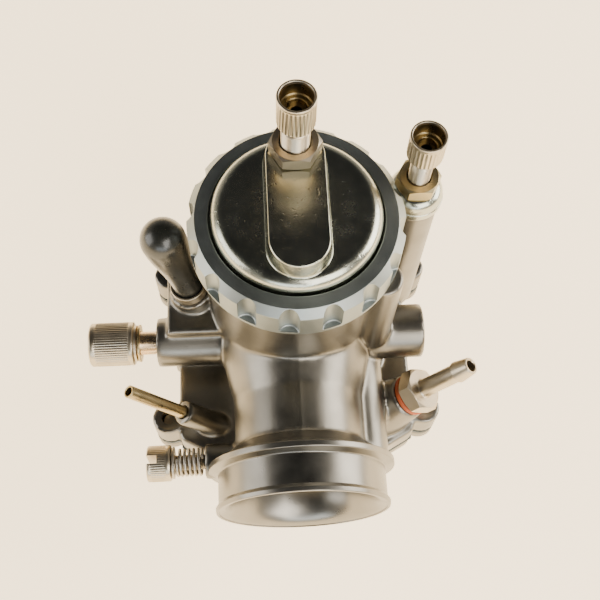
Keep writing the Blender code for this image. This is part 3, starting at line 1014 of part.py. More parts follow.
def boot_outline(bottom, top):
    """A rubber bottle shape, hollow and open below, with a rounded head."""
    shoulder = top - BOOT_HEAD_RADIUS
    outer = [(BOOT_BASE_RADIUS, bottom), (BOOT_BASE_RADIUS, bottom + 5.0),
             (BOOT_HEAD_RADIUS, shoulder - 4.0)]
    outer += arc(0.0, shoulder, BOOT_HEAD_RADIUS, 0.0, 70.0, 4) + [(0.0, top)]
    inner_head = BOOT_HEAD_RADIUS - BOOT_WALL
    inner = [(0.0, top - BOOT_WALL)] + arc(0.0, shoulder, inner_head, 60.0, 0.0, 2)
    inner += [(inner_head, shoulder - 4.0), (PRIMER_NIPPLE_RADIUS + FIT_GAP, bottom + 7.5)]
    return outer + inner + [(PRIMER_NIPPLE_RADIUS + FIT_GAP, bottom)]


# ---------------------------------------------------------------- float bowl


def bowl_ring(name, bottom, top, material):
    """The float bowl joint's outline with its four screw ears, open over the chamber."""
    ring = place_mesh(name, prism(flange_outline(), bottom, top), material)
    for index, (x, y) in enumerate(ear_centres()):
        where = placement((x, y, 0.0))
        add(ring, helper(f"{name}_ear_{index}", rod(EAR_RADIUS, bottom, top, SMALL_SIDES), where))
        hole = rod(BOWL_SCREW_RADIUS + FIT_GAP, bottom - OVERCUT, top + OVERCUT, TINY_SIDES)
        cut(ring, helper(f"{name}_ear_hole_{index}", hole, where))
    return ring


def make_bowl(metals):
    chamber = flange_outline(2 * BOWL_WALL)
    bowl = bowl_ring("float_bowl", BOWL_TOP - BOWL_FLANGE_THICKNESS, BOWL_TOP, metals["cast"])
    tub = prism(flange_outline(BOWL_WALL + BOWL_TAPER), 0.0, BOWL_TOP - 1.0, flange_outline(BOWL_WALL))
    add(bowl, helper("bowl_tub_form", tub))
    hollow = prism(flange_outline(2 * BOWL_WALL + BOWL_TAPER), BOWL_FLOOR, BOWL_TOP + OVERCUT, chamber)
    cut(bowl, helper("bowl_hollow", hollow))
    drain_boss = rod(DRAIN_BOSS_RADIUS, BOWL_FLOOR - 1.0, DRAIN_BOSS_TOP, MEDIUM_SIDES)
    add(bowl, helper("drain_boss_form", drain_boss))
    recess_radius = hexagon_radius(DRAIN_ACROSS_FLATS) + 0.9
    cut(bowl, helper("drain_recess", rod(recess_radius, -OVERCUT, DRAIN_RECESS, MEDIUM_SIDES)),
        helper("drain_hole", rod(DRAIN_THREAD_RADIUS + FIT_GAP, -OVERCUT, DRAIN_BOSS_TOP + OVERCUT,
                                 SMALL_SIDES)))
    gasket = bowl_ring("bowl_gasket", GASKET_BOTTOM, GASKET_TOP, metals["gasket"])
    cut(gasket, helper("gasket_window", prism(chamber, GASKET_BOTTOM - OVERCUT, GASKET_TOP + OVERCUT)))
    for index, (x, y) in enumerate(ear_centres()):
        make_bowl_screw(index + 1, x, y, metals["nickel"])
    head = rod(hexagon_radius(DRAIN_ACROSS_FLATS), 0.0, DRAIN_HEAD_HEIGHT, 6)
    plug = place_mesh("drain_plug", head, metals["brass"])
    add(plug, helper("drain_thread", rod(DRAIN_THREAD_RADIUS, DRAIN_HEAD_HEIGHT - 1.0, DRAIN_TOP,
                                         SMALL_SIDES)))
    washer_bottom = DRAIN_HEAD_HEIGHT + FIT_GAP
    washer = sleeve(DRAIN_THREAD_RADIUS + 1.8, DRAIN_THREAD_RADIUS + FIT_GAP, washer_bottom,
                    washer_bottom + DRAIN_WASHER_THICKNESS, SMALL_SIDES)
    place_mesh("drain_plug_washer", washer, metals["fibre"])


def make_bowl_screw(number, x, y, metal):
    head_top = BOWL_TOP - BOWL_FLANGE_THICKNESS - FIT_GAP
    head_bottom = head_top - BOWL_SCREW_HEAD_HEIGHT
    shank_top = FLANGE_FACE + BOWL_SCREW_REACH
    outline = [(0.0, head_bottom), (BOWL_SCREW_HEAD_RADIUS - 0.4, head_bottom)]
    outline += [(BOWL_SCREW_HEAD_RADIUS, head_bottom + 0.4), (BOWL_SCREW_HEAD_RADIUS, head_top)]
    outline += [(BOWL_SCREW_RADIUS, head_top), (BOWL_SCREW_RADIUS, shank_top), (0.0, shank_top)]
    frame = placement((x, y, 0.0))
    screw = place_mesh(f"bowl_screw_{number}", turned(outline, TINY_SIDES), metal, frame)
    slot = block((-5.0, -0.6, head_bottom - OVERCUT), (5.0, 0.6, head_bottom + 1.4))
    cut(screw, helper(f"bowl_screw_slot_{number}", slot, frame))


def make_jets(metals):
    hex_top = JET_BOTTOM + JET_HEX_HEIGHT
    needle_jet = place_mesh("needle_jet", rod(hexagon_radius(JET_HEX_ACROSS_FLATS), JET_BOTTOM, hex_top, 6),
                            metals["brass"])
    add(needle_jet, helper("jet_tube_form", rod(JET_RADIUS, JET_BOTTOM + 1.0, JET_TOP, SMALL_SIDES)))
    thread_hole = rod(MAIN_JET_THREAD_RADIUS + FIT_GAP, JET_BOTTOM - OVERCUT,
                      JET_BOTTOM + MAIN_JET_THREAD_LENGTH + 2.0, TINY_SIDES)
    cut(needle_jet, helper("jet_bore", rod(JET_BORE_RADIUS, JET_BOTTOM - OVERCUT, JET_TOP + OVERCUT,
                                           TINY_SIDES)),
        helper("jet_thread_hole", thread_hole))
    head_top = MAIN_JET_BOTTOM + MAIN_JET_HEAD_HEIGHT
    main_jet = place_mesh("main_jet", rod(hexagon_radius(MAIN_JET_ACROSS_FLATS), MAIN_JET_BOTTOM,
                                          head_top, 6),
                          metals["brass"])
    thread_top = JET_BOTTOM + MAIN_JET_THREAD_LENGTH
    add(main_jet, helper("main_jet_thread", rod(MAIN_JET_THREAD_RADIUS, head_top - 1.0, thread_top,
                                                TINY_SIDES)))
    cut(main_jet, helper("main_jet_hole", rod(MAIN_JET_HOLE_RADIUS, MAIN_JET_BOTTOM - OVERCUT,
                                              thread_top + OVERCUT,
                                              TINY_SIDES)))
    for name, y in (("pilot_jet", -SMALL_JET_Y), ("starter_jet", SMALL_JET_Y)):
        top = FLANGE_FACE - SMALL_JET_BOSS_LENGTH + SMALL_JET_LENGTH * 0.6
        tube = sleeve(SMALL_JET_RADIUS, SMALL_JET_HOLE_RADIUS, top - SMALL_JET_LENGTH, top, TINY_SIDES)
        place_mesh(name, tube, metals["brass"], placement((0.0, y, 0.0)))


def make_float(metals):
    lobe_top = FLANGE_FACE - FLOAT_LOBE_TOP
    lobe_bottom = DRAIN_BOSS_TOP + FLOAT_FLOOR_CLEARANCE
    arm_top = lobe_top + 1.0
    arm_bottom = lobe_top - 1.5
    ear_outer = FLOAT_POST_INNER_X - FIT_GAP - 0.1
    ear_inner = ear_outer - FLOAT_EAR_THICKNESS
    arm = block((-FLOAT_LOBE_OUTER_X + 2.0, FLOAT_LOBE_FRONT - 5.0, arm_bottom),
                (FLOAT_LOBE_OUTER_X - 2.0, FLOAT_LOBE_FRONT + 4.0, arm_top))
    item = place_mesh("float", arm, metals["float"])
    middle = 0.5 * (FLOAT_LOBE_INNER_X + FLOAT_LOBE_OUTER_X)
    half = 0.5 * (FLOAT_LOBE_OUTER_X - FLOAT_LOBE_INNER_X)
    for side, name in ((-1, "left"), (1, "right")):
        lobe = stadium(half, FLOAT_LOBE_FRONT, FLOAT_LOBE_REAR, 7)
        small = stadium(half - FLOAT_LOBE_ROUND, FLOAT_LOBE_FRONT + FLOAT_LOBE_ROUND,
                        FLOAT_LOBE_REAR - FLOAT_LOBE_ROUND, 7)
        frame = placement((side * middle, 0.0, 0.0))
        waist = lobe_bottom + FLOAT_LOBE_ROUND
        add(item, helper(f"{name}_lobe_form", prism(lobe, waist, lobe_top), frame),
            helper(f"{name}_lobe_foot_form", prism(small, lobe_bottom, waist + 0.1, lobe), frame))
        near, far = sorted((side * ear_inner, side * ear_outer))
        ear = block((near, FLOAT_PIN_Y - 2.6, arm_bottom + 0.5),
                    (far, FLOAT_LOBE_FRONT - 3.0, FLOAT_PIN_Z + 2.6))
        add(item, helper(f"{name}_ear_form", ear))
    tang = block((-3.5, VALVE_Y - 4.0, arm_bottom + 0.4), (3.5, FLOAT_LOBE_FRONT - 3.0, arm_top - 0.2))
    add(item, helper("tang_form", tang))
    cut(item, helper_rod("float_ear_hole", FLOAT_PIN_RADIUS + SLIDING_GAP, (-9.0, FLOAT_PIN_Y, FLOAT_PIN_Z),
                         (9.0, FLOAT_PIN_Y, FLOAT_PIN_Z), TINY_SIDES))
    pin_reach = FLOAT_POST_INNER_X + FLOAT_POST_THICKNESS + 0.3
    pin = rod(FLOAT_PIN_RADIUS, -pin_reach, pin_reach, TINY_SIDES)
    place_mesh("float_pin", pin, metals["steel"], placement((0.0, FLOAT_PIN_Y, FLOAT_PIN_Z),
                                                            (1.0, 0.0, 0.0)))
    make_float_valve(arm_top, metals)


def make_float_valve(arm_top, metals):
    frame = placement((0.0, VALVE_Y, 0.0))
    head_top = FLANGE_FACE - FIT_GAP
    head_bottom = head_top - VALVE_SEAT_HEAD
    chamber_top = FLANGE_FACE - 0.6
    seat = place_mesh("float_valve_seat", rod(hexagon_radius(VALVE_SEAT_ACROSS_FLATS), head_bottom,
                                              head_top, 6),
                      metals["brass"], frame)
    add(seat, helper("valve_thread", rod(VALVE_SEAT_THREAD_RADIUS, head_top - 1.0, VALVE_SEAT_TOP,
                                         SMALL_SIDES),
                     frame))
    cut(seat, helper("valve_chamber", rod(VALVE_BORE_RADIUS, head_bottom - OVERCUT, chamber_top,
                                          SMALL_SIDES), frame),
        helper("valve_orifice", rod(VALVE_ORIFICE_RADIUS, chamber_top - OVERCUT, VALVE_SEAT_TOP + OVERCUT,
                                    TINY_SIDES), frame))
    tip_top = chamber_top - 0.1 * VALVE_TRAVEL - 0.1
    shoulder = chamber_top - VALVE_TRAVEL - FIT_GAP
    needle = [(0.0, arm_top + FIT_GAP), (VALVE_NEEDLE_RADIUS, arm_top + FIT_GAP),
              (VALVE_NEEDLE_RADIUS, shoulder - 1.0)]
    needle += [(VALVE_ORIFICE_RADIUS - 0.3, shoulder), (VALVE_ORIFICE_RADIUS - 0.5, tip_top),
               (0.0, tip_top)]
    place_mesh("float_needle", turned(needle, TINY_SIDES), metals["brass"], frame)


def make_carburetor():
    remove_everything()
    metals = {
        "cast": make_material("cast_aluminium", (0.55, 0.54, 0.51), 0.32, 1.0),
        "polished": make_material("polished_aluminium", (0.60, 0.60, 0.58), 0.16, 1.0),
        "satin": make_material("satin_aluminium", (0.56, 0.59, 0.62), 0.28, 1.0),
        "nickel": make_material("nickel_plate", (0.62, 0.57, 0.49), 0.25, 1.0),
        "plated": make_material("chromed_brass", (0.66, 0.66, 0.66), 0.18, 1.0),
        "steel": make_material("spring_steel", (0.50, 0.49, 0.47), 0.30, 1.0),
        "brass": make_material("brass", (0.62, 0.47, 0.22), 0.30, 1.0),
        "rubber": make_material("black_rubber", (0.015, 0.015, 0.015), 0.35, 0.0),
        "fibre": make_material("red_fibre", (0.45, 0.08, 0.04), 0.60, 0.0),
        "gasket": make_material("gasket_paper", (0.16, 0.20, 0.19), 0.80, 0.0),
        "float": make_material("float_plastic", (0.05, 0.05, 0.05), 0.50, 0.0),
    }
    make_body(metals)
    make_slide(metals)
    make_slide_fittings(metals)
    make_cover(metals)
    make_ring_nut(metals)
    make_throttle_cable_parts(metals)
    make_choke(metals)
    make_idle_screw(metals)
    make_mixture_screw(metals)
    make_side_plug(metals)
    make_inlet(metals)
    make_vent(metals)
    make_primer(metals)
    make_bowl(metals)
    make_jets(metals)
    make_float(metals)


make_carburetor()
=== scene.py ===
"""Looks of the round-slide carburetor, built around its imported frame.

Shapes are drawn in millimetres, in the part's own frame, and become metres where a mesh is
made. +Z runs up the throttle slide's axis and -Y points out of the intake bell.
"""

import json
import math

import bmesh
import bpy
from mathutils import Matrix, Vector

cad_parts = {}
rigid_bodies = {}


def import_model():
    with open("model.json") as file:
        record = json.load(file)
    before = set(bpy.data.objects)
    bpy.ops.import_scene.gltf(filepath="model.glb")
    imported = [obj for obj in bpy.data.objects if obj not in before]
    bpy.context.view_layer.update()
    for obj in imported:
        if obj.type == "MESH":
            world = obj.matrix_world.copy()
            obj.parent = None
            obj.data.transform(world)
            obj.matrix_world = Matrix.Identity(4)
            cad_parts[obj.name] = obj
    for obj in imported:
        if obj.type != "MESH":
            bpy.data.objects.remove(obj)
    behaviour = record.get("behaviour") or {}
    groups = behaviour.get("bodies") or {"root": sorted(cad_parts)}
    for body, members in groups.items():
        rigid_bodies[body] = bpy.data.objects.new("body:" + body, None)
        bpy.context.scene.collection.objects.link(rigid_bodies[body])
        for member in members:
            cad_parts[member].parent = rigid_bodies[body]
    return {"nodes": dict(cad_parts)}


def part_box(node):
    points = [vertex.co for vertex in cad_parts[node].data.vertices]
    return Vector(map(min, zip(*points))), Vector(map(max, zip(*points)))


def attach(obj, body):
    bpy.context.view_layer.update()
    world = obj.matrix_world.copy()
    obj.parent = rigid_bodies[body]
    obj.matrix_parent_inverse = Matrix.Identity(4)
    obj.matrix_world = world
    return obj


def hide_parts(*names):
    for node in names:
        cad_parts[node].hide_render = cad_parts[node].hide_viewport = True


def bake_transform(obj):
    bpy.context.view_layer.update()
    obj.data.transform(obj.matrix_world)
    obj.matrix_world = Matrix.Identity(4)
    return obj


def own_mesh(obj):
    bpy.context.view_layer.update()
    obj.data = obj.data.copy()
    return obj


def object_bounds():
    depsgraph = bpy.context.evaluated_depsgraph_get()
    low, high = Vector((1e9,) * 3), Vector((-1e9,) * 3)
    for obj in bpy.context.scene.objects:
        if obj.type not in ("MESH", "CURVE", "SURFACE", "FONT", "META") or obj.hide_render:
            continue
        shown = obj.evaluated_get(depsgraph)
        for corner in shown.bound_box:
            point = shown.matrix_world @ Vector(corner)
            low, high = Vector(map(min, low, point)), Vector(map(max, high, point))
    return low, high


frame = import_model()
cad_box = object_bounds()

MM = 0.001
OVERCUT = 1.0


def span(node):
    """A CAD node's lowest and highest corners, in millimetres."""
    low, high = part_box(node)
    return Vector(low) / MM, Vector(high) / MM


# ---------------------------------------------------------------- sizes

VENTURI_RADIUS = 17.0
VENTURI_HEIGHT = 62.0
FLANGE_FACE = 38.0
FLANGE_TOP = 47.0
CASTING_LOW, CASTING_HIGH = span("body_casting")
BELL_LENGTH = -CASTING_LOW.y
SPIGOT_LENGTH = CASTING_HIGH.y
BARREL_RADIUS = 24.5
NUT_LOW, NUT_HIGH = span("ring_nut")
NUT_RADIUS = 28.0
COVER_LOW, COVER_HIGH = span("top_cover")
COVER_TOP = COVER_HIGH.z - 5.0
COVER_RADIUS = 21.9
BARREL_TOP = span("cover_seal")[0].z - 0.3
SLIDE_LOW, SLIDE_HIGH = span("throttle_slide")
THROTTLE_CABLE = Vector((0.0, 13.4, 0.0))
CHOKE_LOW, CHOKE_HIGH = span("choke_cap")
CHOKE_AXIS = Vector((0.5 * (CHOKE_LOW.x + CHOKE_HIGH.x), 0.5 * (CHOKE_LOW.y + CHOKE_HIGH.y), 0.0))
TOWER_RADIUS = 6.9
TOWER_TOP = 101.2
TOWER_NECK_TOP = 105.6
IDLE_Y = -10.5
IDLE_BOSS_X = -41.0
PLUG_BOSS_X = 38.0
PLUG_Z = 64.0
MIXTURE_Y = -47.0
MIXTURE_Z = 60.0
MIXTURE_BOSS_X = -27.3
INLET_ROOT = Vector((37.0, -28.5, 62.0))
INLET_DIRECTION = Vector((11.7, 1.3, 15.0)).normalized()
INLET_SEAT = -5.8
VENT_ROOT = Vector((-34.0, -31.3, 58.0))
VENT_DIRECTION = Vector((-13.6, 1.2, 17.0)).normalized()
PRIMER_ROOT = Vector((-30.2, 0.2, 76.0))
PRIMER_DIRECTION = Vector((-5.0, 1.3, 29.0)).normalized()
EARS = [(side * 39.2, y) for side in (-1, 1) for y in (-29.5, 19.0)]


# ---------------------------------------------------------------- modelling helpers


def placement(origin=(0.0, 0.0, 0.0), axis=(0.0, 0.0, 1.0), turn=0.0):
    """A frame in millimetres whose local Z runs along axis, turned about it by degrees."""
    rotation = Vector((0.0, 0.0, 1.0)).rotation_difference(Vector(axis)).to_matrix().to_4x4()
    spin = Matrix.Rotation(math.radians(turn), 4, "Z")
    return Matrix.Translation(Vector(origin)) @ rotation @ spin


def solid(name, shape, where=None):
    """Makes an object of a bmesh drawn in millimetres."""
    bmesh.ops.recalc_face_normals(shape, faces=shape.faces)
    bmesh.ops.scale(shape, vec=(MM, MM, MM), verts=shape.verts)
    mesh = bpy.data.meshes.new(name)
    shape.to_mesh(mesh)
    shape.free()
    item = bpy.data.objects.new(name, mesh)
    bpy.context.scene.collection.objects.link(item)
    if where is not None:
        item.matrix_world = Matrix.Translation(where.to_translation() * MM) @ where.to_3x3().to_4x4()
    return item


def combine(target, operation, tools):
    """Adds or cuts tools with one Boolean modifier, through a collection of them."""
    group = bpy.data.collections.new(f"{target.name}_{operation.lower()}")
    bpy.context.scene.collection.children.link(group)
    for tool in tools:
        bpy.context.scene.collection.objects.unlink(tool)
        group.objects.link(tool)
    step = target.modifiers.new(group.name, "BOOLEAN")
    step.operation = operation
    step.operand_type = "COLLECTION"
    step.collection = group
    step.solver = "EXACT"


def settle(item):
    """Applies the modifiers of an object and removes the helpers that they used."""
    bpy.context.view_layer.update()
    graph = bpy.context.evaluated_depsgraph_get()
    mesh = bpy.data.meshes.new_from_object(item.evaluated_get(graph), depsgraph=graph)
    groups = [step.collection for step in item.modifiers if step.type == "BOOLEAN"]
    item.modifiers.clear()
    item.data = mesh
    for group in groups:
        for tool in list(group.objects):
            bpy.data.objects.remove(tool)
        bpy.data.collections.remove(group)


def soften(item, width, segments=2, angle=32):
    """Rounds the sharp edges of an object by a width in millimetres."""
    step = item.modifiers.new("soften", "BEVEL")
    step.width = width * MM
    step.segments = segments
    step.limit_method = "ANGLE"
    step.angle_limit = math.radians(angle)
    step.use_clamp_overlap = True


def melt(item, voxel, passes):
    """Runs an object's forms together with cast fillets."""
    grid = item.modifiers.new("voxels", "REMESH")
    grid.mode = "VOXEL"
    grid.voxel_size = voxel * MM
    grid.use_smooth_shade = True
    flow = item.modifiers.new("flow", "SMOOTH")
    flow.factor = 0.5
    flow.iterations = passes


def dress(item, body, material, nodes=(), sharp=34, even=True, tilted=False):
    """Settles a piece, shades it, and hands it to the frame. A tilted one is drawn along the main axes."""
    settle(item)
    if tilted:
        item.data.transform(item.matrix_world)
        item.matrix_world = Matrix.Identity(4)
    item.data.materials.clear()
    item.data.materials.append(material)
    item.data.shade_smooth()
    item.data.set_sharp_from_angle(angle=math.radians(sharp))
    if even:
        step = item.modifiers.new("even", "WEIGHTED_NORMAL")
        step.keep_sharp = True
        step.weight = 100
    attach(item, body)
    if nodes:
        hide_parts(*nodes)
    return item


def arc(centre_x, centre_y, radius, start, end, count):
    """Points of an arc, in degrees, both ends included."""
    angles = (math.radians(start + (end - start) * index / (count - 1)) for index in range(count))
    return [(centre_x + radius * math.cos(a), centre_y + radius * math.sin(a)) for a in angles]


def rounded(points, steps=4):
    """A closed outline whose points are (x, y) or (x, y, fillet radius)."""
    outline = []
    for index, point in enumerate(points):
        if len(point) == 2:
            outline.append(point)
            continue
        here = Vector(point[:2])
        before = (Vector(points[index - 1][:2]) - here).normalized()
        after = (Vector(points[(index + 1) % len(points)][:2]) - here).normalized()
        half = 0.5 * before.angle(after)
        reach = point[2] / math.tan(half)
        centre = here + (before + after).normalized() * (point[2] / math.sin(half))
        start, end = here + before * reach - centre, here + after * reach - centre
        turn = start.angle_signed(end)
        for step in range(steps + 1):
            angle = -turn * step / steps
            outline.append(tuple(centre + Matrix.Rotation(angle, 2) @ start))
    return outline


def turned(outline, sides=96, phase=0.0):
    """A turned solid from a closed outline of (radius, height); a point may be a function of the angle."""
    shape = bmesh.new()
    rings = []
    for point in outline:
        if not callable(point) and point[0] <= 1e-6:
            rings.append([shape.verts.new((0.0, 0.0, point[1]))] * sides)
            continue
        ring = []
        for index in range(sides):
            angle = 2 * math.pi * (index + phase) / sides
            radius, height = point(angle) if callable(point) else point
            ring.append(shape.verts.new((radius * math.cos(angle), radius * math.sin(angle), height)))
        rings.append(ring)
    for first, second in zip(rings, rings[1:] + rings[:1]):
        for index in range(sides):
            following = (index + 1) % sides
            corners = (first[index], first[following], second[following], second[index])
            unique = list(dict.fromkeys(corners))
            if len(unique) > 2:
                shape.faces.new(unique)
    return shape


def rod(radius, bottom, top, sides=96, fillet=0.0, phase=0.0):
    if fillet:
        outline = [(0, bottom), (radius, bottom, fillet), (radius, top, fillet), (0, top)]
        return turned(rounded(outline), sides, phase)
    return turned([(0, bottom), (radius, bottom), (radius, top), (0, top)], sides, phase)


def rod_between(name, radius, start, end, sides=64, fillet=0.0):
    start, end = Vector(start), Vector(end)
    return solid(name, rod(radius, 0.0, (end - start).length, sides, fillet), placement(start, end - start))


def sleeve(outer, inner, bottom, top, fillet, sides=96):
    """A tube or washer with rounded edges."""
    corners = [(inner, bottom, fillet), (outer, bottom, fillet), (outer, top, fillet), (inner, top, fillet)]
    return turned(rounded(corners, 3), sides)


def loft(levels):
    """A closed solid through (outline, height) levels with equal numbers of points."""
    shape = bmesh.new()
    rings = [[shape.verts.new((x, y, height)) for x, y in outline] for outline, height in levels]
    for first, second in zip(rings, rings[1:]):
        for index in range(len(first)):
            following = (index + 1) % len(first)
            shape.faces.new((first[index], first[following], second[following], second[index]))
    shape.faces.new(rings[0])
    shape.faces.new(rings[-1])
    return shape


def block(low, high):
    (x0, y0, z0), (x1, y1, z1) = low, high
    outline = [(x0, y0), (x1, y0), (x1, y1), (x0, y1)]
    return loft([(outline, z0), (outline, z1)])


def stadium(half_width, front, rear, count=25):
    """A long outline with round ends, along Y."""
    ends = arc(0.0, rear - half_width, half_width, 0.0, 180.0, count)
    return ends + arc(0.0, front + half_width, half_width, 180.0, 360.0, count)


def thread(radius, depth, pitch, bottom, top, rows_per_turn=6):
    """Outline points of a screw thread, for turned()."""
    count = max(2, round((top - bottom) / pitch * rows_per_turn))

    def row(height):
        fade = min(1.0, (height - bottom) / (0.5 * pitch), (top - height) / (0.5 * pitch))

        def point(angle):
            turns = height / pitch - angle / (2 * math.pi)
            groove = abs(2 * (turns - math.floor(turns)) - 1)
            return radius - depth * groove * max(fade, 0.0), height
        return point
    return [row(bottom + (top - bottom) * index / count) for index in range(count + 1)]


def knurl(radius, depth, ridges, height):
    """One outline point of a straight knurl, for turned()."""
    def point(angle):
        place = ridges * angle / (2 * math.pi)
        wave = abs(2 * (place - math.floor(place)) - 1)
        return radius - depth * min(1.0, 1.35 * wave), height
    return point


def knurled_band(radius, depth, ridges, bottom, top, run=0.35):
    """A straight knurl that runs out at both ends."""
    return [(radius - 0.5 * depth, bottom), knurl(radius, depth, ridges, bottom + run),
            knurl(radius, depth, ridges, top - run), (radius - 0.5 * depth, top)]


def hexagon(across_flats, bottom, top, inner, inner_fillet=0.25):
    """Outline of a hexagonal nut with turned chamfers, for turned() with sides a multiple of 6."""
    half = 0.5 * across_flats
    circle = half * 0.985

    def corner(height, sign):
        def point(angle):
            local = math.fmod(angle, math.pi / 3) - math.pi / 6
            radius = half / math.cos(local)
            return radius, height - sign * (radius - circle) * math.tan(math.radians(30))
        return point
    return [(inner, bottom + inner_fillet), (inner + inner_fillet, bottom), (circle - 0.05, bottom),
            corner(bottom, -1), corner(top, 1), (circle - 0.05, top), (inner + inner_fillet, top),
            (inner, top - inner_fillet)]


def coil(radius, wire, bottom, top, turns, steps=40, sides=12):
    """A compression spring along local Z with closed ends."""
    shape = bmesh.new()
    count = turns * steps + 1
    low, high = bottom + wire, top - wire
    rings = []
    for step in range(count):
        place = step / (count - 1)
        eased = min(max((place * turns - 0.75) / (turns - 1.5), 0.0), 1.0)
        end = 2 * wire * (min(place * turns, 0.75) - 0.75 + max(place * turns - turns + 0.75, 0.0))
        height = low + 1.5 * wire + (high - low - 3 * wire) * eased + end
        angle = 2 * math.pi * step / steps
        outward = Vector((math.cos(angle), math.sin(angle), 0.0))
        centre = outward * radius + Vector((0.0, 0.0, height))
        ring = []
        for side in range(sides):
            around = 2 * math.pi * side / sides
            offset = outward * math.cos(around) + Vector((0.0, 0.0, math.sin(around)))
            ring.append(shape.verts.new(centre + offset * wire))
        rings.append(ring)
    for first, second in zip(rings, rings[1:]):
        for side in range(sides):
            following = (side + 1) % sides
            shape.faces.new((first[side], first[following], second[following], second[side]))
    shape.faces.new(rings[0])
    shape.faces.new(rings[-1])
    return shape


def flange_outline(margin=0.0, corner=0.0):
    """The float bowl joint's eight-sided outline, moved in by margin."""
    half, front, rear = 36.0 - margin, 45.0 - margin, 32.0 - margin
    slant = margin * math.tan(math.radians(22.5))
    inset_x = 20.0 - slant
    inset_front = 36.2 - slant
    inset_rear = 24.0 - slant
    right = [(inset_x, -front), (half, -inset_front), (half, inset_rear), (inset_x, rear)]
    outline = right + [(-x, y) for x, y in reversed(right)]
    return rounded([(x, y, corner) for x, y in outline], 8) if corner else outline


# ---------------------------------------------------------------- materials


class Graph:
    """Small helper for building a material's nodes."""

    def __init__(self, name):
        self.material = bpy.data.materials.new(name)
        self.material.use_nodes = True
        self.nodes = self.material.node_tree.nodes
        self.links = self.material.node_tree.links
        self.shader = self.nodes["Principled BSDF"]
        self.coords = self.nodes.new("ShaderNodeTexCoord").outputs["Object"]

    def link(self, source, target):
        self.links.new(source, target)

    def math(self, operation, first, second=None):
        node = self.nodes.new("ShaderNodeMath")
        node.operation = operation
        for socket, value in zip(node.inputs, (first, second)):
            if isinstance(value, (int, float)):
                socket.default_value = value
            elif value is not None:
                self.link(value, socket)
        return node.outputs[0]

    def scaled(self, factors):
        node = self.nodes.new("ShaderNodeMapping")
        self.link(self.coords, node.inputs["Vector"])
        node.inputs["Scale"].default_value = factors
        return node.outputs[0]

    def lathe_coords(self, factor):
        """Coordinates that only change along the radius and the axis of a turned piece."""
        split = self.nodes.new("ShaderNodeSeparateXYZ")
        self.link(self.coords, split.inputs[0])
        squares = [self.math("MULTIPLY", split.outputs[i], split.outputs[i]) for i in (0, 1)]
        radius = self.math("SQRT", self.math("ADD", *squares))
        join = self.nodes.new("ShaderNodeCombineXYZ")
        self.link(self.math("MULTIPLY", radius, factor), join.inputs[0])
        self.link(self.math("MULTIPLY", split.outputs[2], factor), join.inputs[1])
        return join.outputs[0]

    def noise(self, scale, detail=3.0, vector=None, roughness=0.55):
        node = self.nodes.new("ShaderNodeTexNoise")
        self.link(vector if vector is not None else self.coords, node.inputs["Vector"])
        node.inputs["Scale"].default_value = scale
        node.inputs["Detail"].default_value = detail
        node.inputs["Roughness"].default_value = roughness
        return node.outputs["Fac"]

    def ranged(self, value, low, high, start=0.3, end=0.7):
        node = self.nodes.new("ShaderNodeMapRange")
        self.link(value, node.inputs["Value"])
        for name, number in (("From Min", start), ("From Max", end), ("To Min", low), ("To Max", high)):
            node.inputs[name].default_value = number
        return node.outputs["Result"]

    def blend(self, factor, first, second):
        node = self.nodes.new("ShaderNodeMix")
        node.data_type = "RGBA"
        self.link(factor, node.inputs["Factor"])
        for socket, value in ((node.inputs[6], first), (node.inputs[7], second)):
            if isinstance(value, tuple):
                socket.default_value = (*value, 1.0)
            else:
                self.link(value, socket)
        return node.outputs[2]

    def bump(self, height, depth, before=None):
        node = self.nodes.new("ShaderNodeBump")
        node.inputs["Strength"].default_value = 1.0
        node.inputs["Distance"].default_value = depth * MM
        self.link(height, node.inputs["Height"])
        if before is not None:
            self.link(before, node.inputs["Normal"])
        return node.outputs["Normal"]

    def crevice(self):
        """1 in worn edges, 0 in corners, 0.5 on plain faces."""
        node = self.nodes.new("ShaderNodeNewGeometry")
        return node.outputs["Pointiness"]


def metal(name, colour, dull, roughness, spread=0.06, patch=90.0, grain=1500.0, grain_depth=0.004,
          lathe=0.0, lathe_depth=0.004, corner_shade_and_grime=(0.10, 0.09, 0.075), corner_shade_and_grime_amount=0.5, pits=0.0):
    """A worn metal: two tones in patches, painted shade with grime in corners, fine grain, and lathe lines
    if turned.
    """
    graph = Graph(name)
    shader = graph.shader
    shader.inputs["Metallic"].default_value = 1.0
    patches = graph.noise(patch, 2.0)
    tone = graph.blend(graph.ranged(patches, 0.0, 1.0), colour, dull)
    # Painted shade with grime: concave corners (low pointiness) are darkened towards the corner colour in
    # noisy patches, and made rougher there.
    corners = graph.ranged(graph.crevice(), corner_shade_and_grime_amount, 0.0, 0.36, 0.445)
    corner_shade_and_grime_mask = graph.math("MULTIPLY", corners, graph.ranged(graph.noise(patch * 6, 3.0), 0.3, 1.0))
    graph.link(graph.blend(corner_shade_and_grime_mask, tone, corner_shade_and_grime), shader.inputs["Base Color"])
    fine = graph.noise(grain, 3.0)
    level = graph.ranged(graph.noise(patch * 1.6, 3.0), roughness - spread, roughness + spread)
    level = graph.math("ADD", level, graph.ranged(fine, -0.3 * spread, 0.3 * spread))
    level = graph.math("ADD", level, graph.math("MULTIPLY", corner_shade_and_grime_mask, 0.35))
    graph.link(level, shader.inputs["Roughness"])
    normal = graph.bump(fine, grain_depth)
    if lathe:
        lines = graph.noise(1.0, 2.0, graph.lathe_coords(lathe), 0.7)
        normal = graph.bump(lines, lathe_depth, normal)
    if pits:
        holes = graph.ranged(graph.noise(700.0, 2.0), 0.0, 1.0, 0.62, 0.75)
        normal = graph.bump(holes, -pits, normal)
    graph.link(normal, shader.inputs["Normal"])
    return graph.material


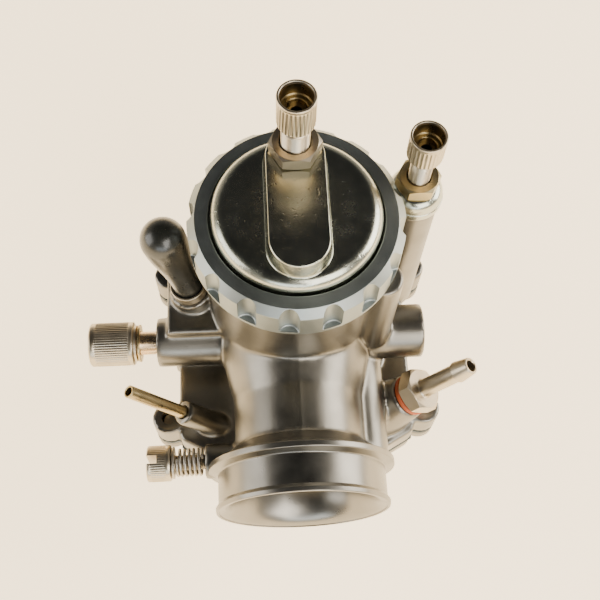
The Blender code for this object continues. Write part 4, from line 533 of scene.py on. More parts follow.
def dull_material(name, colour, second, roughness, spread, grain, depth, coat=0.0):
    """Rubber, fibre, paper or plastic: two tones and a fine grain."""
    graph = Graph(name)
    shader = graph.shader
    patches = graph.noise(120.0, 4.0)
    graph.link(graph.blend(graph.ranged(patches, 0.0, 1.0), colour, second), shader.inputs["Base Color"])
    fine = graph.noise(grain, 4.0)
    graph.link(graph.ranged(graph.noise(260.0, 4.0), roughness - spread, roughness + spread),
               shader.inputs["Roughness"])
    graph.link(graph.bump(fine, depth), shader.inputs["Normal"])
    shader.inputs["Coat Weight"].default_value = coat
    shader.inputs["Coat Roughness"].default_value = 0.25
    return graph.material


# The corner colour and amount given to each metal below set its painted shade with grime in corners.
CAST = metal("cast_aluminium", (0.275, 0.258, 0.224), (0.225, 0.210, 0.180), 0.35, 0.05, 60.0, 700.0, 0.006,
             corner_shade_and_grime_amount=0.55)
BELL = metal("machined_bell", (0.29, 0.274, 0.242), (0.24, 0.226, 0.198), 0.32, 0.05, 80.0, 1500.0, 0.003,
             lathe=2600.0, lathe_depth=0.004, corner_shade_and_grime_amount=0.35)
BOWL = metal("bowl_aluminium", (0.28, 0.262, 0.228), (0.22, 0.206, 0.178), 0.36, 0.06, 60.0, 700.0, 0.010,
             corner_shade_and_grime_amount=0.55)
COVER = metal("polished_cover", (0.54, 0.545, 0.46), (0.46, 0.47, 0.385), 0.23, 0.05, 110.0, 1100.0, 0.006,
              corner_shade_and_grime_amount=0.25, pits=0.035)
RING = metal("turned_ring_nut", (0.38, 0.415, 0.405), (0.33, 0.36, 0.35), 0.42, 0.04, 90.0, 1800.0, 0.003,
             lathe=5200.0, lathe_depth=0.006, corner_shade_and_grime_amount=0.3)
NICKEL = metal("worn_nickel", (0.60, 0.52, 0.395), (0.52, 0.445, 0.325), 0.34, 0.06, 160.0, 2200.0, 0.003,
               corner_shade_and_grime=(0.22, 0.16, 0.09), corner_shade_and_grime_amount=0.35)
CUP = metal("bronzed_cup", (0.36, 0.28, 0.15), (0.26, 0.20, 0.10), 0.34, 0.08, 200.0, 2200.0, 0.004)
CHROME = metal("chromed_slide", (0.66, 0.66, 0.65), (0.58, 0.57, 0.55), 0.16, 0.04, 100.0, 1800.0, 0.002,
               lathe=3000.0, lathe_depth=0.003, corner_shade_and_grime_amount=0.3)
STEEL = metal("spring_steel", (0.54, 0.50, 0.43), (0.42, 0.38, 0.32), 0.34, 0.08, 220.0, 2400.0, 0.003,
              corner_shade_and_grime=(0.13, 0.07, 0.035), corner_shade_and_grime_amount=0.4)
BRASS = metal("aged_brass", (0.60, 0.47, 0.25), (0.46, 0.36, 0.19), 0.32, 0.08, 200.0, 2200.0, 0.003,
              corner_shade_and_grime=(0.10, 0.07, 0.03), corner_shade_and_grime_amount=0.4)
OLIVE = metal("olive_brass", (0.58, 0.48, 0.27), (0.46, 0.385, 0.22), 0.38, 0.06, 200.0, 2200.0, 0.003,
              corner_shade_and_grime=(0.08, 0.065, 0.03), corner_shade_and_grime_amount=0.4)
AMBER = metal("heat_tinted_nickel", (0.80, 0.55, 0.30), (0.70, 0.56, 0.38), 0.27, 0.06, 300.0, 2200.0,
              0.003,
              lathe=4200.0, lathe_depth=0.002)
RUBBER = dull_material("black_rubber", (0.012, 0.013, 0.011), (0.024, 0.024, 0.018), 0.30, 0.06, 1500.0,
                       0.006,
                       0.5)
FIBRE = dull_material("red_fibre", (0.62, 0.13, 0.04), (0.48, 0.09, 0.03), 0.62, 0.08, 1800.0, 0.03)
PAPER = dull_material("gasket_paper", (0.10, 0.12, 0.115), (0.16, 0.17, 0.155), 0.85, 0.06, 2200.0, 0.03)
PLASTIC = dull_material("float_plastic", (0.03, 0.03, 0.03), (0.05, 0.05, 0.048), 0.48, 0.08, 1500.0, 0.01)

SLOT_MATERIALS = {
    "cast": CAST, "polished": COVER, "satin": RING, "nickel": NICKEL, "plated": CHROME, "steel": STEEL,
    "brass": BRASS, "rubber": RUBBER, "fibre": FIBRE, "gasket": PAPER, "float_plastic": PLASTIC,
}


# ---------------------------------------------------------------- main casting


AHEAD = placement((0.0, 0.0, VENTURI_HEIGHT), (0.0, -1.0, 0.0))
BEHIND = placement((0.0, 0.0, VENTURI_HEIGHT), (0.0, 1.0, 0.0))
RIDGE_Y = 49.8
CLAMP_RADIUS = 23.7
LIP_RADIUS = 24.5
MOUTH_RADIUS = 23.5


def cast_forms():
    """The rough forms that run together into the casting."""
    tube = [(0.0, 4.0), (BARREL_RADIUS - 2.5, 4.0), (BARREL_RADIUS - 2.5, 16.0)]
    tube += [(VENTURI_RADIUS + 3.0, 25.0), (VENTURI_RADIUS + 1.6, 31.0), (VENTURI_RADIUS + 1.6, 45.0)]
    tube += [(CLAMP_RADIUS - 0.6, RIDGE_Y - 0.6), (CLAMP_RADIUS - 0.6, 58.0), (0.0, 58.0)]
    yield solid("tube_form", turned(tube, 128), AHEAD)
    yield solid("spigot_form", rod(21.0, 10.0, 33.5, 128), BEHIND)
    flange = flange_outline(0.0, 3.0)
    yield solid("flange_form", loft([(flange, FLANGE_FACE), (flange, FLANGE_TOP)]))
    yield solid("keel_form", block((-15.0, -44.0, FLANGE_FACE + 1.0), (15.0, 30.0, VENTURI_HEIGHT - 4.0)))
    for index, (x, y) in enumerate(EARS):
        yield solid(f"ear_form_{index}", rod(5.0, FLANGE_FACE, FLANGE_TOP + 1.0, 48),
                    placement((x, y, 0.0)))
    web = loft([(web_outline(), 4.0), (web_outline(), RIDGE_Y)])
    yield solid("air_web_form", web, Matrix.Rotation(math.radians(90), 4, "X"))
    yield rod_between("air_passage_form", 5.0, (22.6, -12.5, 42.0), (22.6, -12.5, 105.8))
    yield solid("side_block_form", block((-37.4, -12.0, FLANGE_FACE + 2.0), (-14.0, 8.5, 72.5)))
    yield rod_between("idle_boss_form", 7.3, (-16.0, IDLE_Y, VENTURI_HEIGHT),
                      (IDLE_BOSS_X, IDLE_Y, VENTURI_HEIGHT))
    yield rod_between("plug_boss_form", 8.0, (16.0, IDLE_Y, PLUG_Z), (PLUG_BOSS_X, IDLE_Y, PLUG_Z))
    tower = [(0.0, 42.5), (TOWER_RADIUS, 42.5), (TOWER_RADIUS, TOWER_TOP), (0.0, TOWER_TOP)]
    yield solid("tower_form", turned(tower, 72), placement(CHOKE_AXIS))
    yield solid("tower_web_form", block((14.0, CHOKE_AXIS.y - 5.0, 43.0),
                                        (CHOKE_AXIS.x, CHOKE_AXIS.y + 5.0, TOWER_TOP - 4.0)))
    yield rod_between("mixture_boss_form", 5.0, (-12.0, MIXTURE_Y, MIXTURE_Z),
                      (MIXTURE_BOSS_X, MIXTURE_Y, MIXTURE_Z))
    yield rod_between("vent_boss_form", 3.6, VENT_ROOT - VENT_DIRECTION * 16.0, VENT_ROOT)
    boss = turned([(0.0, -22.0), (9.0, -22.0), (6.5, INLET_SEAT), (0.0, INLET_SEAT)], 72)
    yield solid("inlet_boss_form", boss, placement(INLET_ROOT, INLET_DIRECTION))
    yield rod_between("primer_boss_form", 6.2, PRIMER_ROOT - PRIMER_DIRECTION * 12.0, PRIMER_ROOT)
    yield solid("jet_boss_form", rod(7.0, 24.0, FLANGE_FACE + 2.0, 48))


def web_outline():
    """Cross-section of the air web: (x, z), with a large round along its outer top edge."""
    low = FLANGE_FACE + 3.0
    return rounded([(6.0, low), (25.6, low), (25.6, 66.0, 7.0), (6.0, 66.0)], 10)


def bell_shape():
    """The machined intake bell: clamp seat, stop ridge, lip and the flare inside it."""
    end = BELL_LENGTH
    flare = 16.0
    outline = rounded([
        (18.0, 44.6), (18.75, 44.9, 0.3), (CLAMP_RADIUS, RIDGE_Y - 1.2, 0.5),
        (26.4, RIDGE_Y, 0.35), (26.4, RIDGE_Y + 1.6, 0.35), (CLAMP_RADIUS, RIDGE_Y + 2.4, 0.5),
        (CLAMP_RADIUS, end - 2.2, 0.3), (LIP_RADIUS, end - 1.2, 0.25), (LIP_RADIUS - 0.2, end, 0.25),
        (MOUTH_RADIUS + 0.05, end, 0.2),
    ], 4)[:-1]
    for step in range(25):
        angle = 0.5 * math.pi * (1 - step / 24)
        radius = VENTURI_RADIUS + (MOUTH_RADIUS - VENTURI_RADIUS) * (1 - math.cos(angle))
        outline.append((radius, end - 0.25 - (flare - 0.25) * (1 - math.sin(angle))))
    outline += [(VENTURI_RADIUS, 44.6)]
    return turned(outline, 160)


def casting_cuts():
    """Bores and screw holes of the casting."""
    yield solid("slide_bore", rod(20.2, 45.0, BARREL_TOP + OVERCUT, 128))
    yield solid("venturi_bore", rod(VENTURI_RADIUS, -SPIGOT_LENGTH - OVERCUT, 44.0, 128, phase=0.5), AHEAD)
    clearance = [(0.0, 43.9), (18.6, 43.9), (18.6, 44.9), (CLAMP_RADIUS - 0.15, RIDGE_Y - 1.2),
                 (CLAMP_RADIUS - 0.15, 60.0), (0.0, 60.0)]
    yield solid("bell_clearance", turned(clearance, 128), AHEAD)
    yield solid("jet_hole", rod(3.3, 22.0, 46.0, 48))
    seat_low, seat_high = span("float_valve_seat")
    yield solid("valve_hole", rod(3.5, FLANGE_FACE - 1.0, seat_high.z + 0.3, 48),
                placement((0.0, 0.5 * (seat_low.y + seat_high.y), 0.0)))
    yield solid("choke_bore", rod(4.6, 52.0, TOWER_NECK_TOP + OVERCUT, 48), placement(CHOKE_AXIS))
    yield rod_between("idle_neck_hole", 3.8, (IDLE_BOSS_X - 2.0, IDLE_Y, VENTURI_HEIGHT),
                      (-27.0, IDLE_Y, VENTURI_HEIGHT), 48)
    yield rod_between("idle_tip_hole", 2.3, (-28.0, IDLE_Y, VENTURI_HEIGHT),
                      (-14.0, IDLE_Y, VENTURI_HEIGHT), 48)
    yield rod_between("mixture_hole", 2.5, (MIXTURE_BOSS_X - 2.0, MIXTURE_Y, MIXTURE_Z),
                      (-20.0, MIXTURE_Y, MIXTURE_Z), 48)
    yield rod_between("vent_hole", 2.15, VENT_ROOT - VENT_DIRECTION * 5.3, VENT_ROOT + VENT_DIRECTION * 2.0,
                      48)
    yield rod_between("inlet_hole", 3.9, INLET_ROOT + INLET_DIRECTION * (INLET_SEAT - 7.0),
                      INLET_ROOT + INLET_DIRECTION * (INLET_SEAT + 2.0), 48)
    yield rod_between("primer_hole", 1.8, PRIMER_ROOT - PRIMER_DIRECTION * 39.0,
                      PRIMER_ROOT + PRIMER_DIRECTION * 2.0, 48)
    yield rod_between("plug_hole", 4.8, (PLUG_BOSS_X - 6.3, IDLE_Y, PLUG_Z),
                      (PLUG_BOSS_X + 2.0, IDLE_Y, PLUG_Z), 48)
    for index, (x, y) in enumerate(EARS):
        yield solid(f"ear_hole_{index}", rod(2.2, 37.0, 50.0, 32), placement((x, y, 0.0)))
    pin_z = 0.5 * (SLIDE_LOW.z + 34.0 + SLIDE_HIGH.z)
    yield rod_between("guide_pin_hole", 1.5, (0.0, 17.0, pin_z), (0.0, BARREL_RADIUS + OVERCUT, pin_z), 32)


def make_casting():
    body = solid("casting", rod(BARREL_RADIUS, FLANGE_FACE + 1.5, BARREL_TOP, 128))
    combine(body, "UNION", list(cast_forms()))
    melt(body, 0.62, 7)
    settle(body)
    seam(body.data)
    combine(body, "DIFFERENCE", list(casting_cuts()))
    dress(body, "carburetor_body", CAST, ("body_casting",), 40, even=False)
    bell = solid("intake_bell", bell_shape(), AHEAD)
    dress(bell, "carburetor_body", BELL, ("body_casting",), 30)
    bead = rounded([(17.0, 30.0), (20.8, 30.0), (21.0, 34.0, 0.4), (22.0, 35.0, 0.4),
                    (22.0, SPIGOT_LENGTH, 0.8),
                    (17.0, SPIGOT_LENGTH, 0.4)], 4)
    spigot = solid("engine_spigot", turned(bead, 128), BEHIND)
    dress(spigot, "carburetor_body", BELL, ("body_casting",), 30)
    neck = rounded([(4.6, TOWER_TOP - 1.0), (5.6, TOWER_TOP - 1.0), (5.6, TOWER_NECK_TOP, 0.3),
                    (4.6, TOWER_NECK_TOP, 0.3)], 3)
    dress(solid("choke_tower_neck", turned(neck, 72), placement(CHOKE_AXIS)), "carburetor_body", CAST,
          ("body_casting",), 30)


def seam(mesh):
    """A faint mould line along the top of the intake tube."""
    for vertex in mesh.vertices:
        x, y, z = vertex.co / MM
        if z > VENTURI_HEIGHT + 15.0 and -46.0 < y < -24.0:
            vertex.co.z += 0.10 * MM * math.exp(-(x / 0.45) ** 2)


# ---------------------------------------------------------------- top cover and ring nut


def make_cover():
    bottom, flange_top = COVER_LOW.z, COVER_LOW.z + 2.5
    outline = rounded([
        (20.4, bottom, 0.3), (BARREL_RADIUS - 0.3, bottom, 0.3), (BARREL_RADIUS - 0.3, flange_top, 0.3),
        (COVER_RADIUS, flange_top, 0.3), (COVER_RADIUS, COVER_TOP, 3.6),
        (0.0, COVER_TOP), (0.0, COVER_TOP - 3.0), (20.4, COVER_TOP - 3.0, 1.5),
    ], 10)
    cover = solid("cover_skin", turned(outline, 180))
    rib_top = COVER_HIGH.z
    levels = [(COVER_TOP - 1.5, 0.3), (COVER_TOP - 0.03, 0.3), (COVER_TOP + 0.1, 0.14),
              (COVER_TOP + 0.35, 0.0)]
    rings = [(stadium(8.0 + grow, -19.5 - grow, 20.3 + grow, 33), height) for height, grow in levels]
    top_inset, fillet = 0.45, 0.5
    for step in range(6):
        angle = 0.5 * math.pi * step / 5
        inset = top_inset + fillet * (1 - math.cos(angle))
        height = rib_top - fillet * (1 - math.sin(angle))
        rings.append((stadium(8.0 - inset, -19.5 + inset, 20.3 - inset, 33), height))
    combine(cover, "UNION", [solid("rib_form", loft(rings))])
    hole = rod(4.0, COVER_TOP - 4.0, rib_top + OVERCUT, 64)
    combine(cover, "DIFFERENCE", [solid("cable_hole", hole, placement(THROTTLE_CABLE))])
    dress(cover, "carburetor_body", COVER, ("top_cover",), 34)


def make_ring_nut():
    bottom, top = NUT_LOW.z, NUT_HIGH.z
    bore, opening = BARREL_RADIUS + 0.3, COVER_RADIUS + 0.6
    outline = rounded([
        (bore, bottom, 0.15), (NUT_RADIUS, bottom, 0.4), (NUT_RADIUS, top - 2.1, 0.18),
        (NUT_RADIUS - 2.1, top, 0.18), (opening, top, 0.25), (opening, top - 2.5, 0.15), (bore, top - 2.5),
    ], 3)
    nut = solid("ring_nut_skin", turned(outline, 240))
    centre = NUT_RADIUS - 2.0 + 2.8
    flutes = []
    for index in range(16):
        angle = math.radians(-90 - 6.4 + 360 * index / 16)
        where = placement((centre * math.cos(angle), centre * math.sin(angle), 0.0))
        flutes.append(solid(f"flute_{index}", rod(2.8, bottom + 1.4, top + OVERCUT, 40, 0.5), where))
    combine(nut, "DIFFERENCE", flutes)
    soften(nut, 0.14, 2, 40)
    dress(nut, "carburetor_body", RING, ("ring_nut",), 38)


# ---------------------------------------------------------------- cable adjusters


def make_adjuster(name, node, body, axis, head_length, neck_radius, ridges):
    """A hollow knurled adjuster: threaded neck, plain collar, knurled head and a stepped cup."""
    low, high = span(node)
    top, head = high.z, high.z - head_length
    outline = [(1.5, low.z), (neck_radius - 0.7, low.z)]
    outline += thread(neck_radius, 0.32, 0.75, low.z + 0.3, head - 1.6)
    outline += [(neck_radius - 0.25, head - 1.4), (neck_radius - 0.1, head - 0.1), (4.1, head),
                (4.45, head + 0.25)]
    outline += knurled_band(4.8, 0.24, ridges, head + 0.5, top - 1.5)
    outline += [(4.62, top - 1.2), (4.8, top - 0.95)]
    outline += arc(4.8 - 0.3, top - 0.3, 0.3, 0, 90, 4) + arc(4.1 + 0.25, top - 0.25, 0.25, 90, 180, 4)
    shelf = top - 4.6
    outline += [(4.1, shelf + 0.3), (3.8, shelf), (2.9, shelf), (2.7, shelf - 0.2), (2.7, top - 6.0),
                (1.5, top - 6.0)]
    item = solid(name, turned(outline, 8 * ridges), placement(axis))
    dress(item, body, NICKEL, (node,), 45, even=False)
    cup = [(4.07, top - 0.9), (4.07, shelf + 0.33), (3.78, shelf + 0.03), (2.87, shelf + 0.03),
           (2.67, shelf - 0.17),
           (2.67, top - 5.97), (1.53, top - 5.97), (1.53, top - 6.3), (4.3, top - 6.3), (4.3, top - 0.9)]
    lining = solid(f"{name}_lining", turned(cup, 96), placement(axis))
    dress(lining, body, CUP, (node,), 40)


def make_cable_parts():
    make_adjuster("throttle_adjuster", "throttle_cable_adjuster", "throttle_adjuster", THROTTLE_CABLE, 10.3,
                  3.7, 30)
    make_adjuster("choke_adjuster", "choke_cable_adjuster", "choke_adjuster", CHOKE_AXIS, 8.6, 3.0, 28)
    low, high = span("throttle_adjuster_locknut")
    nut = solid("locknut", turned(hexagon(11.8, low.z, high.z, 4.0), 96), placement(THROTTLE_CABLE))
    dress(nut, "carburetor_body", NICKEL, ("throttle_adjuster_locknut",), 22)


# ---------------------------------------------------------------- choke


def make_choke():
    where = placement(CHOKE_AXIS)
    bottom, top, radius = CHOKE_LOW.z, CHOKE_HIGH.z, 7.7
    cap = rounded([
        (5.9, bottom, 0.2), (radius, bottom, 0.7), (radius, top - 4.3, 0.25),
        (radius - 0.25, top - 4.1, 0.2),
        (radius - 0.25, top, 3.1), (4.3, top, 0.4), (4.3, top - 2.0), (5.9, top - 2.0),
    ], 8)
    dress(solid("choke_cap_skin", turned(cap, 120), where), "carburetor_body", COVER,
          ("choke_cap",), 32)
    low, high = span("choke_cap_nut")
    hexagonal = hexagon(10.6, high.z - 4.1, high.z, 3.3)
    outline = [(3.3, low.z), (3.8, low.z), (4.0, low.z + 0.3), (4.0, high.z - 4.0)] + hexagonal[2:]
    dress(solid("choke_nut", turned(outline, 96), where), "carburetor_body", OLIVE,
          ("choke_cap_nut",), 22)
    low, high = span("choke_spring")
    spring = solid("choke_return_spring", coil(3.4, 0.45, low.z, high.z, 5), where)
    dress(spring, "carburetor_body", STEEL, ("choke_spring",), 40, even=False)
    spring.modifiers.clear()
    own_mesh(spring)


# ---------------------------------------------------------------- throttle slide


def make_throttle():
    low, high = SLIDE_LOW.z, SLIDE_HIGH.z
    outline = rounded([(0.0, low), (20.0, low, 0.25), (20.0, high, 0.4), (17.5, high, 0.4),
                       (17.5, low + 6.5, 0.8),
                       (0.0, low + 6.5)], 4)
    slide = solid("slide_skin", turned(outline, 128))
    ramp = loft([([(-22, -22), (22, -22), (22, -2), (-22, -2)], low - 5.0),
                 ([(-22, -22), (22, -22), (22, -2), (-22, -2)], low)])
    ramp.verts.ensure_lookup_table()
    for vertex in ramp.verts:
        if vertex.co.z > low - 1.0 and vertex.co.y < -21.0:
            vertex.co.z += 3.0
    tools = [
        solid("needle_hole", rod(1.5, low - OVERCUT, low + 7.5, 32)),
        solid("nozzle_relief", rod(4.0, low - OVERCUT, span("needle_jet")[1].z + 0.8, 48)),
        solid("nipple_hole", rod(2.6, low - OVERCUT, low + 7.5, 48), placement(THROTTLE_CABLE)),
        solid("keyway", block((-1.5, 18.2, low - OVERCUT), (1.5, 21.0, high + OVERCUT))),
        solid("cutaway", ramp),
        solid("idle_slot", block((-21.0, IDLE_Y - 2.6, low - OVERCUT),
                                 (-11.0, IDLE_Y + 2.6, VENTURI_HEIGHT + 4.0))),
    ]
    combine(slide, "DIFFERENCE", tools)
    dress(slide, "throttle", CHROME, ("throttle_slide",), 30)
    needle_low, needle_high = span("jet_needle")
    groove = low + 6.8
    needle = [(0.0, needle_low.z), (0.6, needle_low.z + 0.2), (1.2, 41.0), (1.2, groove - 0.1),
              (0.75, groove - 0.1),
              (0.75, groove + 1.0), (1.2, groove + 1.0), (1.2, needle_high.z - 0.2), (1.0, needle_high.z),
              (0.0, needle_high.z)]
    dress(solid("needle_skin", turned(needle, 32)), "throttle", BRASS, ("jet_needle",), 30)
    spring_low, spring_high = span("slide_spring")
    spring = solid("slide_return_spring", coil(15.6, 0.7, spring_low.z, spring_high.z, 8, 48))
    dress(spring, "carburetor_body", STEEL, ("slide_spring",), 40, even=False)
    spring.modifiers.clear()
    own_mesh(spring)


# ---------------------------------------------------------------- screws on the sides


def make_idle_screw():
    """Local Z points out of the casting, towards -X, from the slide's axis."""
    where = placement((0.0, IDLE_Y, VENTURI_HEIGHT), (-1.0, 0.0, 0.0))
    low, high = span("idle_speed_screw")
    tip, knob, end = -high.x, 47.0, -low.x
    outline = [(0.0, tip), (1.0, tip), (2.0, tip + 1.6), (2.0, 30.0), (2.9, 30.3)]
    outline += thread(3.5, 0.3, 0.8, 30.4, 39.0)
    outline += [(3.2, 39.4), (3.2, 41.5), (3.5, 41.9), (3.5, knob - 1.2), (4.2, knob - 0.1), (4.2, knob)]
    shank = solid("idle_shank", turned(outline + [(0.0, knob + 0.5)], 96), where)
    dress(shank, "idle_screw", AMBER, ("idle_speed_screw",), 40)
    head = rounded([(0.0, knob), (5.2, knob, 0.2), (5.6, knob + 0.9, 0.2)], 3)[:-1]
    head = [(0.0, knob), (5.2, knob), (5.45, knob + 0.2), (5.5, knob + 0.8), (6.1, knob + 0.95)]
    head += arc(6.1, knob + 1.35, 0.4, -90, 0, 4)[1:]
    head += [(6.5, knob + 2.1)] + knurled_band(6.5, 0.16, 56, knob + 2.3, end - 1.7, 0.4)
    head += [(6.5, end - 1.5)] + arc(5.7, end - 0.8, 0.8, 0, 90, 6) + [(4.4, end), (4.1, end - 0.25),
                                                                       (0.0, end - 0.3)]
    item = solid("idle_knob", turned(head, 448), where)
    dress(item, "idle_screw", NICKEL, ("idle_speed_screw",), 45, even=False)
    low, high = span("idle_screw_washer")
    washer = solid("idle_washer", sleeve(5.6, 3.8, -high.x, -low.x, 0.15), where)
    dress(washer, "idle_carrier", BRASS, ("idle_screw_washer",), 30)


def make_mixture_screw():
    """Local Z points out of the casting, towards -X, from the slide's axis."""
    where = placement((0.0, MIXTURE_Y, MIXTURE_Z), (-1.0, 0.0, 0.0))
    low, high = span("mixture_screw")
    tip, end = -high.x, -low.x
    head = end - 6.8
    outline = [(0.0, tip), (0.6, tip + 0.1), (2.2, tip + 3.0)] + thread(2.2, 0.22, 0.7, tip + 3.2,
                                                                        head - 1.0)
    outline += [(2.2, head), (4.6, head), (5.0, head + 0.15), (5.15, head + 0.5)]
    outline += [(5.15, head + 1.2)] + knurled_band(5.15, 0.10, 48, head + 1.35, end - 1.1, 0.3)
    outline += [(5.15, end - 0.9)] + arc(4.6, end - 0.55, 0.55, 0, 90, 5) + [(0.0, end)]
    screw = solid("mixture_skin", turned(outline, 384), where)
    slot = block((-7.0, -1.15, end - 3.0), (7.0, 1.15, end + OVERCUT))
    combine(screw, "DIFFERENCE", [solid("slot", slot, where)])
    dress(screw, "mixture_needle", NICKEL, ("mixture_screw",), 45, even=False)
    spring_low, spring_high = span("mixture_screw_spring")
    start, stop = -spring_high.x, -spring_low.x
    spring = solid("mixture_spring", coil(3.6, 0.45, start, stop, 6, 48), where)
    dress(spring, "carburetor_body", STEEL, ("mixture_screw_spring",), 40, even=False)
    world = spring.matrix_world.copy()
    spring.modifiers.clear()
    spring.parent = None
    spring.matrix_world = world
    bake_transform(spring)
    low, high = span("mixture_screw_washer")
    washer = solid("mixture_washer", sleeve(4.55, 2.5, -high.x, -low.x, 0.12), where)
    dress(washer, "mixture_carrier", STEEL, ("mixture_screw_washer",), 30)


def make_side_plug():
    where = placement((PLUG_BOSS_X, IDLE_Y, PLUG_Z), (1.0, 0.0, 0.0), 30)
    item = solid("plug_skin", rod(4.5, -6.0, -0.4, 96, 0.3), where)
    combine(item, "DIFFERENCE", [solid("plug_slot", block((-6, -0.6, -1.6), (6, 0.6, 1.0)), where)])
    dress(item, "carburetor_body", STEEL, ("side_plug",), 30)


# ---------------------------------------------------------------- tubes and primer


def make_inlet():
    where = placement(INLET_ROOT + INLET_DIRECTION * INLET_SEAT, INLET_DIRECTION, 8)
    washer = solid("inlet_washer", sleeve(6.2, 3.9, 0.3, 1.6, 0.25), where)
    dress(washer, "carburetor_body", FIBRE, ("fuel_inlet_washer",), 30, tilted=True)
    start, end, tube_end = 1.9, 6.5, 25.0
    nut = hexagon(12.0, start, end, 2.9)
    outline = [(1.65, -6.0), (3.3, -6.0)] + thread(3.6, 0.3, 0.75, -5.8, 1.5) + [(3.4, start)] + nut[2:6]
    outline += [(3.3, end), (2.95, end + 0.12), (2.7, end + 0.5), (2.7, tube_end - 5.6),
                (2.95, tube_end - 5.5)]
    outline += [(3.15, tube_end - 5.25), (3.12, tube_end - 4.6), (2.55, tube_end - 0.35),
                (2.4, tube_end - 0.1)]
    outline += [(2.2, tube_end), (1.85, tube_end), (1.65, tube_end - 0.25)]
    fitting = solid("inlet_fitting", turned(outline, 96), where)
    dress(fitting, "carburetor_body", NICKEL, ("fuel_inlet",), 24, tilted=True)


def make_vent():
    tube = solid("vent_pipe", sleeve(1.85, 1.25, -5.0, 21.8, 0.2, 64), placement(VENT_ROOT, VENT_DIRECTION))
    dress(tube, "carburetor_body", BRASS, ("vent_tube",), 30, tilted=True)


def make_primer():
    where = placement(PRIMER_ROOT, PRIMER_DIRECTION)
    collar = rounded([(1.8, 0.3), (5.3, 0.3, 0.25), (5.3, 3.3, 0.3), (4.6, 3.3, 0.15), (4.6, 1.3),
                      (3.0, 1.3),
                      (3.0, 7.3, 0.4), (1.8, 7.3)], 4)
    cup = solid("primer_cup", turned(collar, 96), where)
    dress(cup, "carburetor_body", NICKEL, ("primer_collar",), 30, tilted=True)
    bottom, top = 1.6, 35.1
    outer = [(3.3, bottom), (4.25, bottom)] + arc(4.05, bottom + 0.3, 0.25, -30, 60, 4)
    profile = [(2.0, 4.22), (4.5, 4.18), (6.5, 4.2), (9.5, 4.40), (13.0, 4.75), (17.0, 5.25), (20.5, 5.72),
               (24.0, 6.08), (27.3, 6.2)]
    outer += [(radius, bottom + height) for height, radius in profile]
    outer += arc(0.0, top - 6.2, 6.2, 6, 84, 12) + [(0.0, top)]
    inner = [(0.0, top - 1.2)] + arc(0.0, top - 6.2, 5.0, 80, 0, 6) + [(4.4, bottom + 20.0),
                                                                       (3.3, bottom + 7.5)]
    boot = solid("boot_skin", turned(outer + inner, 96), where)
    dress(boot, "carburetor_body", RUBBER, ("dust_boot",), 40, even=False, tilted=True)
    boot.modifiers.clear()
    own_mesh(boot)


# ---------------------------------------------------------------- float bowl


def make_bowl():
    top = span("float_bowl")[1].z
    rim = flange_outline(0.0, 3.0)
    bowl = solid("bowl_skin", loft([(rim, top - 5.0), (rim, top)]))
    forms = [solid(f"bowl_ear_{index}", rod(5.0, top - 5.0, top, 48), placement((x, y, 0.0)))
             for index, (x, y) in enumerate(EARS)]
    forms.append(solid("bowl_tub", loft([(flange_outline(7.0, 3.0), 0.0), (flange_outline(6.0, 3.0), 1.2),
                                         (flange_outline(3.0, 3.0), top - 1.0)])))
    combine(bowl, "UNION", forms)
    melt(bowl, 0.62, 5)
    settle(bowl)
    tools = [solid("bowl_hollow",
                   loft([(flange_outline(9.0, 2.0), 8.0), (flange_outline(6.0, 2.0), top + OVERCUT)])),
             solid("drain_recess", rod(9.0, -OVERCUT, 4.6, 72)),
             solid("drain_hole", rod(5.3, 4.0, 9.0, 48))]
    tools += [solid(f"bowl_ear_hole_{index}", rod(2.2, top - 6.0, top + OVERCUT, 32),
                    placement((x, y, 0.0)))
              for index, (x, y) in enumerate(EARS)]
    combine(bowl, "DIFFERENCE", tools)
    dress(bowl, "carburetor_body", BOWL, ("float_bowl",), 40, even=False)
    for number, (x, y) in enumerate(EARS, 1):
        make_bowl_screw(number, x, y)
    plug = hexagon(14.0, 0.0, 3.0, 0.0)
    outline = [(0.0, 0.0)] + plug[2:6] + [(5.0, 3.0), (5.0, 6.9), (4.6, 7.2), (0.0, 7.2)]
    dress(solid("drain_skin", turned(outline, 96)), "carburetor_body", BRASS, ("drain_plug",), 22)
    low, high = span("drain_plug_washer")
    dress(solid("drain_washer", sleeve(6.8, 5.3, low.z, high.z, 0.15)), "carburetor_body", FIBRE,
          ("drain_plug_washer",), 30)


def make_bowl_screw(number, x, y):
    node = f"bowl_screw_{number}"
    low, high = span(node)
    head = low.z + 3.0
    outline = [(0.0, low.z)] + arc(3.0, low.z + 0.6, 0.6, -90, 0, 5) + arc(3.3, head - 0.3, 0.3, 0, 90, 4)
    outline += [(1.9, head)] + thread(1.9, 0.2, 0.7, head + 0.2, high.z - 0.2) + [(1.7, high.z),
                                                                                  (0.0, high.z)]
    screw = solid(f"{node}_skin", turned(outline, 72), placement((x, y, 0.0), (0, 0, 1), 35.0 * number))
    slot = solid("slot", block((-5.0, -0.6, low.z - OVERCUT), (5.0, 0.6, low.z + 1.4)),
                 placement((x, y, 0.0), (0, 0, 1), 35.0 * number))
    combine(screw, "DIFFERENCE", [slot])
    dress(screw, "carburetor_body", NICKEL, (node,), 30)


# ---------------------------------------------------------------- CAD pieces that stay


def finish_cad_pieces():
    """Gives every CAD piece that stays in sight, or inside, the finish of its slot."""
    inside = {
        "gasket": ("bowl_gasket",), "rubber": ("cover_seal",), "float_plastic": ("float",),
        "brass": ("main_jet", "needle_jet", "pilot_jet", "starter_jet", "float_needle", "float_valve_seat",
                  "choke_plunger"),
        "steel": ("slide_guide_pin", "needle_clip", "needle_retainer", "float_pin", "primer_rod",
                  "primer_spring"),
    }
    for slot, names in inside.items():
        for name in names:
            item = frame["nodes"][name]
            for place in item.material_slots:
                place.link = "OBJECT"
                place.material = SLOT_MATERIALS[slot]


# ---------------------------------------------------------------- stage


